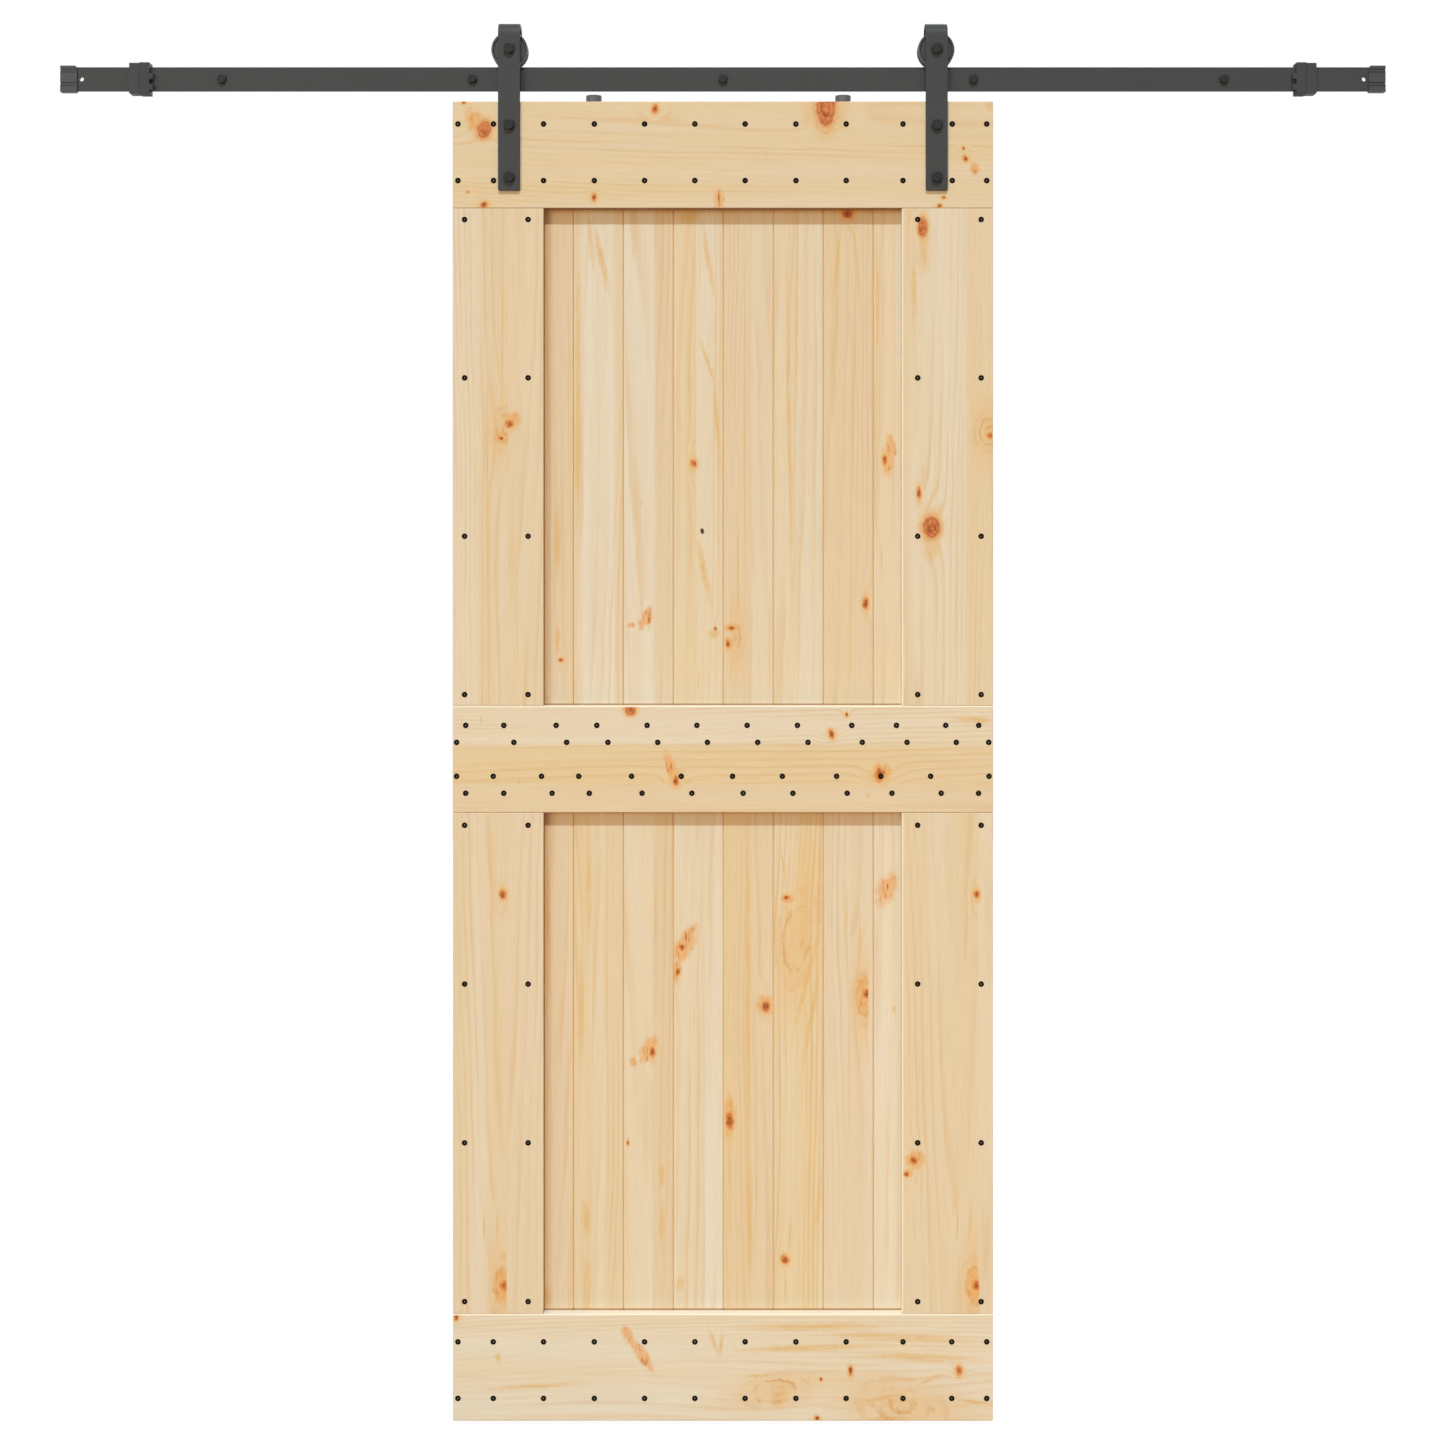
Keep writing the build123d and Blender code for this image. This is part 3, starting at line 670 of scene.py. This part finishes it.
# base and cloud colours, roughness, gloss, grains per metre, their depth, then metal and painted groove shade
# if any
coats = {
    "powderCoat": ((62, 61, 59), (66, 65, 63), 0.55, 0.22, 1500, 0.00006),
    "blackHex": ((34, 33, 32), (40, 39, 38), 0.5, 0.2, 900, 0.00006),
    "blackScrew": ((26, 20, 15), (32, 25, 19), 0.75, 0.06, 900, 0.00004),
    "nylon": ((60, 59, 58), (66, 65, 64), 0.45, 0.35, 700, 0.00005),
    "rubber": ((62, 61, 60), (67, 66, 65), 0.7, 0.25, 1100, 0.0001),
    "capPlastic": ((62, 61, 60), (67, 66, 65), 0.5, 0.35, 1200, 0.00008, 0.0, (0.0106, 0.0014)),
    "discPlastic": ((92, 91, 90), (98, 97, 96), 0.5, 0.4, 1200, 0.00008),
    "brass": ((176, 140, 70), (150, 116, 56), 0.3, 0.5, 600, 0.00004, 1.0),
}


# painted groove shade: near-black bands at (height above and below the middle, half width)
def coatedMaterial(name, base, cloud, rough, gloss, grain, depth, metallic=0.0, shadedGrooves=None):
    material, tree, shader = newMaterial(name)
    place = objectPlace(tree)
    thin, dense = coating["cloudRange"]
    clouds = noise(tree, place, coating["cloudScale"], detail=3.0)
    colour = ramp(tree, clouds, [(thin, paint(*base)), (dense, paint(*cloud))])
    grains = noise(tree, place, (grain, grain, grain))
    colour = mixColour(tree, 1.0, colour, ramp(tree, grains, coating["speckles"]), "MULTIPLY")
    # painted shade: near-black bands where the grooves run
    if shadedGrooves:
        height, half = shadedGrooves
        fromMiddle = calc(tree, "ABSOLUTE", splitVector(tree, place)[2])
        offset = calc(tree, "ABSOLUTE", calc(tree, "SUBTRACT", fromMiddle, height))
        edges = [half * share for share in coating["grooveShadeShare"]]
        mask = spread(tree, offset, *edges, *coating["grooveShadeFade"])
        colour = mixColour(tree, mask, colour, coating["groove"])
    feed(tree, shader.inputs["Base Color"], colour)
    span = coating["roughSpan"]
    feed(tree, shader.inputs["Roughness"], spread(tree, clouds, thin, dense, rough - span, rough + span))
    shader.inputs["Specular IOR Level"].default_value = gloss
    shader.inputs["Metallic"].default_value = metallic
    bump(tree, shader, grains, coating["bumpStrength"], depth)
    return material


finishes = {name: coatedMaterial(name, *look) for name, look in coats.items()}

# nodes that keep the CAD mesh: finish and edge radius
rounded = {
    "track_spacers": ("powderCoat", 0.0006),
    "left_stop_clamp": ("powderCoat", 0.0006),
    "right_stop_clamp": ("powderCoat", 0.0006),
    "stop_bumpers": ("rubber", 0.0008),
    "left_end_cap": ("capPlastic", 0.0005),
    "right_end_cap": ("capPlastic", 0.0005),
    "anti_jump_discs": ("discPlastic", 0.0006),
    "axle_bushes": ("brass", 0.0003),
}
softEdge = {"weld": 1e-5, "steps": 3, "sharpest": radians(28)}


# welded and slightly rounded edges on a CAD node
def softenEdges(node, width):
    weld = nodes[node].modifiers.new("weld", "WELD")
    weld.merge_threshold = softEdge["weld"]
    rounding = nodes[node].modifiers.new("rounding", "BEVEL")
    rounding.width = width
    rounding.segments = softEdge["steps"]
    rounding.limit_method = "ANGLE"
    rounding.angle_limit = softEdge["sharpest"]
    nodes[node].modifiers.new("shading", "WEIGHTED_NORMAL")


for node, (finish, width) in rounded.items():
    dress(node, finishes[finish])
    softenEdges(node, width)
print("steel and plastic nodes dressed:", len(rounded))


# shared by the pieces made here
meshing = {
    "weld": 1e-6, "smoothest": radians(32), "thinnestEdge": 0.00002,
    "cornerTurns": (0, 22.5, 45, 67.5, 90), "cornerSigns": ((1, 1), (-1, 1), (-1, -1), (1, -1)),
}


# lowest and highest corner of each loose solid in a CAD node
def solidBoxes(node):
    mesh = bmesh.new()
    mesh.from_mesh(nodes[node].data)
    bmesh.ops.remove_doubles(mesh, verts=mesh.verts, dist=meshing["weld"])
    left = set(mesh.verts)
    boxes = []
    while left:
        reached = [left.pop()]
        for vert in reached:
            for edge in vert.link_edges:
                other = edge.other_vert(vert)
                if other in left:
                    left.remove(other)
                    reached.append(other)
        low = [min(vert.co[i] for vert in reached) for i in range(3)]
        high = [max(vert.co[i] for vert in reached) for i in range(3)]
        boxes.append((low, high))
    mesh.free()
    return sorted(boxes)


def middleOf(low, high):
    return [(a + b) / 2 for a, b in zip(low, high)]


def halfOf(low, high):
    return [(b - a) / 2 for a, b in zip(low, high)]


# turns rings of (radius, depth) about an axis, into the wall (+Y) or down (-Z)
# a ring may be a function of the angle
def turn(mesh, centre, rings, steps, axis="wall", spin=0.0):
    rows = []
    for ring in rings:
        row = []
        for step in range(steps):
            angle = 2 * pi * step / steps
            radius, depth = ring(angle) if callable(ring) else ring
            flat, rise = radius * cos(angle + spin), radius * sin(angle + spin)
            offset = (flat, depth, rise) if axis == "wall" else (flat, rise, -depth)
            row.append(mesh.verts.new([c + o for c, o in zip(centre, offset)]))
        rows.append(row)
    for upper, lower in zip(rows[:-1], rows[1:]):
        for step in range(steps):
            following = (step + 1) % steps
            mesh.faces.new((upper[step], upper[following], lower[following], lower[step]))
    mesh.faces.new(rows[0])
    mesh.faces.new(rows[-1])


def finishPiece(name, mesh, material, body, slot, *replaced):
    bmesh.ops.recalc_face_normals(mesh, faces=mesh.faces)
    data = bpy.data.meshes.new(name)
    mesh.to_mesh(data)
    mesh.free()
    data.shade_smooth()
    data.set_sharp_from_angle(angle=meshing["smoothest"])
    data.materials.append(material)
    piece = bpy.data.objects.new(name, data)
    bpy.context.scene.collection.objects.link(piece)
    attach(piece, body)
    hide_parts(*replaced)
    return piece


# points of a rounded bar section, (across, thick) from its middle, pulled in towards the bar's end
# the flat sides follow points 4, 9, 14 and 19
def barSection(halfWidth, halfThick, edge, pull):
    softness = max(edge - pull, meshing["thinnestEdge"])
    points = []
    for quarter, (signAcross, signThick) in enumerate(meshing["cornerSigns"]):
        for turned in meshing["cornerTurns"]:
            angle = radians(90 * quarter + turned)
            across = signAcross * (halfWidth - pull - softness) + softness * cos(angle)
            thick = signThick * (halfThick - pull - softness) + softness * sin(angle)
            points.append((across, thick))
    return points


# section rows at a bar's start, pulled in so that the end is rounded too: (step along, pull)
def endSteps(edge):
    angles = [radians(turned) for turned in meshing["cornerTurns"]]
    return [(edge * (1 - cos(angle)), edge * (1 - sin(angle))) for angle in angles]


# joins rows of points into a closed bar; skipped faces are (row, side) and get their hole later
def sweepBar(mesh, rows, skipped=()):
    grid = [[mesh.verts.new(point) for point in row] for row in rows]
    for i, (first, second) in enumerate(zip(grid[:-1], grid[1:])):
        for j in range(len(first)):
            if (i, j) not in skipped:
                k = (j + 1) % len(first)
                mesh.faces.new((first[j], first[k], second[k], second[j]))
    mesh.faces.new(grid[0])
    mesh.faces.new(grid[-1])
    return grid


def crispShading(piece):
    piece.modifiers.new("crispShading", "WEIGHTED_NORMAL").keep_sharp = True


# rows of a straight bar that fills a node's box; axes are across and along it, between are places along it
def straightRows(node, axes, edge, between=()):
    low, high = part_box(node)
    middle, half = middleOf(low, high), halfOf(low, high)
    sideways, lengthways = axes
    stations = [(low[lengthways] + along, pull) for along, pull in endSteps(edge)]
    stations += [(place, 0.0) for place in between]
    stations += [(high[lengthways] - along, pull) for along, pull in reversed(endSteps(edge))]
    rows = []
    for place, pull in stations:
        row = []
        for wide, thick in barSection(half[sideways], half[1], edge, pull):
            point = [0.0, middle[1] + thick, 0.0]
            point[lengthways] = place
            point[sideways] = middle[sideways] + wide
            row.append(point)
        rows.append(row)
    return rows


# frame boards: square timber with eased edges
easedBoard = {"edge": 0.0015}
for board, look in boards.items():
    if "plank" not in board:
        mesh = bmesh.new()
        sweepBar(mesh, straightRows(board, grainAxes(board), easedBoard["edge"]))
        wood = pineMaterial(board, **look)
        crispShading(finishPiece("eased_" + board, mesh, wood, "door_leaf", "frame_pine", board))
print("frame boards made")


# hanger straps: flat bar bent over the wheel, sizes in metres
hanger = {"thick": 0.005, "edge": 0.0009, "corner": 0.002, "bendSteps": 28}


# stations are (height, turn of the bend, pull of the section, cut at the lower corners)
def hangerRows(node):
    low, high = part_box(node)
    middleX, middleY, _ = middleOf(low, high)
    halfWidth, halfDepth, _ = halfOf(low, high)
    halfThick, edge, bendSteps = hanger["thick"] / 2, hanger["edge"], hanger["bendSteps"]
    reach = halfDepth - halfThick
    bendHeight = high[2] - reach - halfThick
    backEnd = min(vert.co.z for vert in nodes[node].data.vertices if vert.co.y > middleY + halfThick)
    stations = []
    for along, pull in endSteps(edge):
        stations.append((low[2] + along, 0.0, pull, max(hanger["corner"] - along, 0)))
    stations.append((low[2] + hanger["corner"], 0.0, 0.0, 0.0))
    stations += [(bendHeight, pi * step / bendSteps, 0.0, 0.0) for step in range(bendSteps + 1)]
    stations += [(backEnd + along, pi, pull, 0.0) for along, pull in reversed(endSteps(edge))]
    rows = []
    for height, bend, pull, cut in stations:
        row = []
        for across, thick in barSection(halfWidth - cut, halfThick, edge, pull):
            arm = reach + thick
            row.append((middleX + across, middleY - arm * cos(bend), height + arm * sin(bend)))
        rows.append(row)
    return rows


for side in ("left", "right"):
    node = side + "_hanger_strap"
    mesh = bmesh.new()
    sweepBar(mesh, hangerRows(node))
    strap = finishPiece(side + "BentHanger", mesh, finishes["powderCoat"], "door_leaf", "strap_steel", node)
    crispShading(strap)
print("hangers made")


# track bar: rounded flat bar with one open hole near each end, between the rows and on the sides named here
track = {
    "edge": 0.0006, "holeInset": 0.029, "holeRadius": 0.0035, "patch": 0.009, "holeSteps": 48,
    "holeRows": (5, 7), "holeSides": (4, 14),
}


def openHole(mesh, grid, row, centreX, centreZ):
    def around(vert):
        above = vert.co.z > centreZ
        return not above, -vert.co.x if above else vert.co.x

    steps, radius = track["holeSteps"], track["holeRadius"]
    quarterSteps = steps // 4
    rims = []
    for side in track["holeSides"]:
        corners = sorted((grid[i][j] for i in (row, row + 1) for j in (side, side + 1)), key=around)
        rim = []
        for step in range(steps):
            angle = radians(45) + 2 * pi * step / steps
            point = (centreX + radius * cos(angle), corners[0].co.y, centreZ + radius * sin(angle))
            rim.append(mesh.verts.new(point))
        for quarter in range(4):
            arc = [rim[(quarter * quarterSteps + step) % steps] for step in range(quarterSteps + 1)]
            mesh.faces.new([corners[quarter], corners[(quarter + 1) % 4]] + arc[::-1])
        rims.append(rim)
    for step in range(steps):
        k = (step + 1) % steps
        mesh.faces.new((rims[0][step], rims[0][k], rims[1][k], rims[1][step]))


low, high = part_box("track_bar")
middleZ = middleOf(low, high)[2]
holes = (low[0] + track["holeInset"], high[0] - track["holeInset"])
patches = [x + offset for x in holes for offset in (-track["patch"], track["patch"])]
rows = straightRows("track_bar", (2, 0), track["edge"], patches)
mesh = bmesh.new()
grid = sweepBar(mesh, rows, [(row, side) for row in track["holeRows"] for side in track["holeSides"]])
for row, x in zip(track["holeRows"], holes):
    openHole(mesh, grid, row, x, middleZ)
bar = finishPiece("flatTrackBar", mesh, finishes["powderCoat"], "track", "track_steel", "track_bar")
crispShading(bar)
print("track bar made")


# wood screws: low dome with a cross recess, cone under the head, tapering shank
woodScrew = {
    "head": 0.0045, "dome": 0.00025, "rimDepths": (0.0001, 0.0006), "coneDepth": 0.0034, "steps": 24,
    "faceRadii": (0.0002, 0.0009, 0.0016, 0.0021, 0.0025, 0.0034, 0.0041),
    "recess": 0.0021, "recessWidth": 0.0005, "recessDepth": 0.0009, "recessSlope": 0.0032,
    "shank": 0.0019, "thinShare": 0.85, "thinFrom": 0.75, "tip": 0.0001,
}


def screwFace(radius):
    def place(angle):
        a, b = abs(radius * cos(angle)), abs(radius * sin(angle))
        rise = woodScrew["dome"] * (1 - (radius / woodScrew["head"]) ** 2)
        if min(a, b) < woodScrew["recessWidth"] and max(a, b) < woodScrew["recess"]:
            return radius, woodScrew["recessDepth"] * (1 - max(a, b) / woodScrew["recessSlope"]) - rise
        return radius, -rise
    return place


def screwRings(length):
    face = [screwFace(radius) for radius in woodScrew["faceRadii"]]
    rim = [(woodScrew["head"], depth) for depth in woodScrew["rimDepths"]]
    cone = (woodScrew["shank"], woodScrew["coneDepth"])
    thin = (woodScrew["shank"] * woodScrew["thinShare"], length * woodScrew["thinFrom"])
    return face + rim + [cone, thin, (woodScrew["tip"], length)]


spins = random.Random(7)
for node in ("top_rail_screws", "mid_rail_screws", "bottom_rail_screws", "stile_screws", "anti_jump_screws"):
    mesh = bmesh.new()
    for low, high in solidBoxes(node):
        x, y, z = middleOf(low, high)
        if node == "anti_jump_screws":
            centre, length, axis = (x, y, high[2]), high[2] - low[2], "down"
        else:
            centre, length, axis = (x, low[1], z), high[1] - low[1], "wall"
        turn(mesh, centre, screwRings(length), woodScrew["steps"], axis, spins.uniform(0, pi))
    finishPiece("fixings_" + node, mesh, finishes["blackScrew"], "door_leaf", "black_fixings", node)
print("wood screws made")


# hex heads: chamfered corners, dished top
hexHead = {
    "flatShare": 0.94, "dish": 0.0003, "dishShare": 0.8, "dishEdge": 0.06, "centreShare": 0.05,
    "seatEdge": 0.0003, "chamfer": radians(30), "steps": 48,
}


def hexRings(width, height):
    inner = width / 2 * hexHead["flatShare"]

    def corner(angle):
        return width / 2 / cos((angle + pi / 6) % (pi / 3) - pi / 6)

    def crown(angle):
        return corner(angle), (corner(angle) - inner) * tan(hexHead["chamfer"]) - height

    def seat(angle):
        return corner(angle), -hexHead["seatEdge"]

    dished = [(inner * hexHead[share], hexHead["dish"] - height) for share in ("centreShare", "dishShare")]
    lip = (inner * (hexHead["dishShare"] + hexHead["dishEdge"]), -height)
    return dished + [lip, (inner, -height), crown, seat, (inner, 0.0)]


# width over flats, head height, shank radius, length and end radius of the tip
hexFixings = {
    "axle_bolts": (0.016, 0.0064, 0.005, 0.001, 0.00375),
    "strap_screws": (0.016, 0.0064, 0.005, 0.03, 0.0002),
    "track_screws": (0.013, 0.0055, 0.004, 0.024, 0.0002),
}
for node, (width, height, shank, tip, tipRadius) in hexFixings.items():
    mesh = bmesh.new()
    for low, high in solidBoxes(node):
        x, _, z = middleOf(low, high)
        centre = (x, low[1] + height, z)
        end = high[1] - centre[1]
        rings = hexRings(width, height) + [(shank, 0.0), (shank, end - tip), (tipRadius, end)]
        turn(mesh, centre, rings, hexHead["steps"], spin=spins.uniform(0, pi))
    body = "track" if node == "track_screws" else "door_leaf"
    finishPiece("hex_" + node, mesh, finishes["blackHex"], body, "hex_steel", node)

# axle nuts: the same hexagon without a dish, round the bolt
axleNut = {"width": 0.016, "bore": 0.0051, "dishRings": 3}
mesh = bmesh.new()
for low, high in solidBoxes("axle_nuts"):
    x, _, z = middleOf(low, high)
    height = high[1] - low[1]
    hexagon = hexRings(axleNut["width"], height)[axleNut["dishRings"]:]
    rings = [(axleNut["bore"], -height)] + hexagon + [(axleNut["bore"], 0.0)]
    turn(mesh, (x, high[1], z), rings, hexHead["steps"], spin=spins.uniform(0, pi))
finishPiece("hex_axle_nuts", mesh, finishes["blackHex"], "door_leaf", "hex_steel", "axle_nuts")
print("hex fixings made")


# wheels: raised rim and hub, shallow recess in both faces, rounded groove lips
wheelShape = {
    "recess": 0.0016, "rimShare": 0.86, "hubShare": 0.42, "edge": 0.0009, "softShare": 0.3, "bore": 0.0076,
    "groove": 0.003, "grooveEdge": 0.0004, "lipHalf": (0.0060, 0.0053), "floorHalf": (0.0041, 0.0036),
    "steps": 96, "weld": 1e-7,
}


def wheelRings(radius, half):
    edge, bore = wheelShape["edge"], wheelShape["bore"]
    sunk, soft = half - wheelShape["recess"], edge * wheelShape["softShare"]
    rim, hub = radius * wheelShape["rimShare"], radius * wheelShape["hubShare"]
    floor, grooveEdge = radius - wheelShape["groove"], wheelShape["grooveEdge"]
    lipHalf, floorHalf = wheelShape["lipHalf"], wheelShape["floorHalf"]
    faceSide = [
        (bore, half - edge), (bore + edge, half), (hub - edge, half), (hub, half - edge), (hub + edge, sunk),
        (rim - edge, sunk), (rim, half - edge), (rim + edge, half), (radius - edge, half),
        (radius - soft, half - soft), (radius, half - edge), (radius, lipHalf[0]),
        (radius - grooveEdge, lipHalf[1]), (floor + grooveEdge, floorHalf[0]), (floor, floorHalf[1]),
    ]
    return faceSide + [(r, -d) for r, d in reversed(faceSide)]


for side in ("left", "right"):
    node = side + "_wheel"
    low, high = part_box(node)
    radius, half, _ = halfOf(low, high)
    mesh = bmesh.new()
    rings = wheelRings(radius, half)
    turn(mesh, middleOf(low, high), rings + rings[:1], wheelShape["steps"])
    bmesh.ops.remove_doubles(mesh, verts=mesh.verts, dist=wheelShape["weld"])
    caps = [face for face in mesh.faces if len(face.verts) > 4]
    bmesh.ops.delete(mesh, geom=caps, context="FACES_ONLY")
    finishPiece(side + "GroovedWheel", mesh, finishes["nylon"], side + "_roller", "wheel_nylon", node)
print("wheels made")


# studio: pale floor in a white surround
studio = {
    "floorDrop": 0.010, "floorSize": 14.0, "floorSquares": 8, "floorColour": paint(120, 116, 110),
    "floorRoughness": 0.8, "floorLift": 0.9, "ambient": (0.420, 0.354, 0.266, 1.0), "white": grey(1.0),
}
mesh = bmesh.new()
squares = studio["floorSquares"]
bmesh.ops.create_grid(mesh, x_segments=squares, y_segments=squares, size=studio["floorSize"] / 2)
data = bpy.data.meshes.new("studioFloor")
mesh.to_mesh(data)
mesh.free()
floor = bpy.data.objects.new("studioFloor", data)
floor.location = (0, 0, cadBox[0][2] - studio["floorDrop"])
bpy.context.scene.collection.objects.link(floor)


# 1 where the camera, a reflection or glass looks at the surround
def seenDirectly(tree):
    lightPath = tree.nodes.new("ShaderNodeLightPath")
    seen = calc(tree, "MAXIMUM", lightPath.outputs["Is Camera Ray"], lightPath.outputs["Is Glossy Ray"])
    return calc(tree, "MAXIMUM", seen, lightPath.outputs["Is Transmission Ray"])


material, tree, shader = newMaterial("paleFloor")
shader.inputs["Base Color"].default_value = studio["floorColour"]
shader.inputs["Roughness"].default_value = studio["floorRoughness"]
shader.inputs["Emission Color"].default_value = studio["white"]
glow = calc(tree, "MULTIPLY", seenDirectly(tree), studio["floorLift"])
feed(tree, shader.inputs["Emission Strength"], glow)
floor.data.materials.append(material)

world = bpy.data.worlds.new("studioWhite")
bpy.context.scene.world = world
world.use_nodes = True
tree = world.node_tree
background = tree.nodes["Background"]
surround = mixColour(tree, seenDirectly(tree), studio["ambient"], studio["white"])
feed(tree, background.inputs["Color"], surround)
background.inputs["Strength"].default_value = 1.0

# lamps: a high one in front, a wide one from the left, a low one for the bottom rail, a soft one for the back
doorMiddle = (0.0, -0.03, -1.08)
lamps = {
    "highFront": dict(
        kind="SUN", energy=2.02, colour=(0.795, 0.998, 1.21), location=(0.0, -3.0, 2.55),
        target=(0.0, -0.03, -1.0), angle=radians(2.0),
    ),
    "wideLeft": dict(
        kind="SUN", energy=0.99, colour=(0.99, 0.93, 0.83), location=(-1.9, -3.6, -0.8),
        target=doorMiddle, angle=radians(27),
    ),
    "lowFront": dict(
        kind="AREA", energy=2.4, colour=(1.04, 0.94, 0.84), location=(0.1, -1.3, -2.0),
        target=(0.1, -0.03, -2.0), shape="RECTANGLE", size=1.8, size_y=0.2,
    ),
    "softRear": dict(
        kind="SUN", energy=2.0, colour=(1.0, 0.98, 0.95), location=(1.6, 3.5, 1.2),
        target=doorMiddle, angle=radians(40),
    ),
}


def addLamp(name, kind, energy, colour, location, target, **settings):
    lamp = bpy.data.lights.new(name, kind)
    lamp.energy = energy
    lamp.color = colour
    for key, value in settings.items():
        setattr(lamp, key, value)
    holder = bpy.data.objects.new(name, lamp)
    holder.location = location
    aim = Vector(target) - Vector(location)
    holder.rotation_euler = aim.to_track_quat("-Z", "Y").to_euler()
    holder.visible_camera = False
    bpy.context.scene.collection.objects.link(holder)


for name, settings in lamps.items():
    addLamp(name, **settings)

# camera: level, in front of the door, as the photograph was framed on a square
view = {
    "frame": 2.2995, "distance": 3.48, "height": -0.754, "middle": -1.0265, "x": -0.0006,
    "sharpPlane": -0.050, "sensor": 36.0, "farthest": 60.0,
}
camera = bpy.data.objects.new("frontCamera", bpy.data.cameras.new("frontCamera"))
bpy.context.scene.collection.objects.link(camera)
camera.location = (view["x"], view["sharpPlane"] - view["distance"], view["height"])
camera.rotation_euler = (radians(90), 0, 0)
camera.data.sensor_width = view["sensor"]
camera.data.lens = view["sensor"] * view["distance"] / view["frame"]
camera.data.shift_y = (view["middle"] - view["height"]) / view["frame"]
camera.data.clip_end = view["farthest"]
bpy.context.scene.camera = camera
bpy.context.scene.view_settings.view_transform = "Standard"
print("studio and camera set")
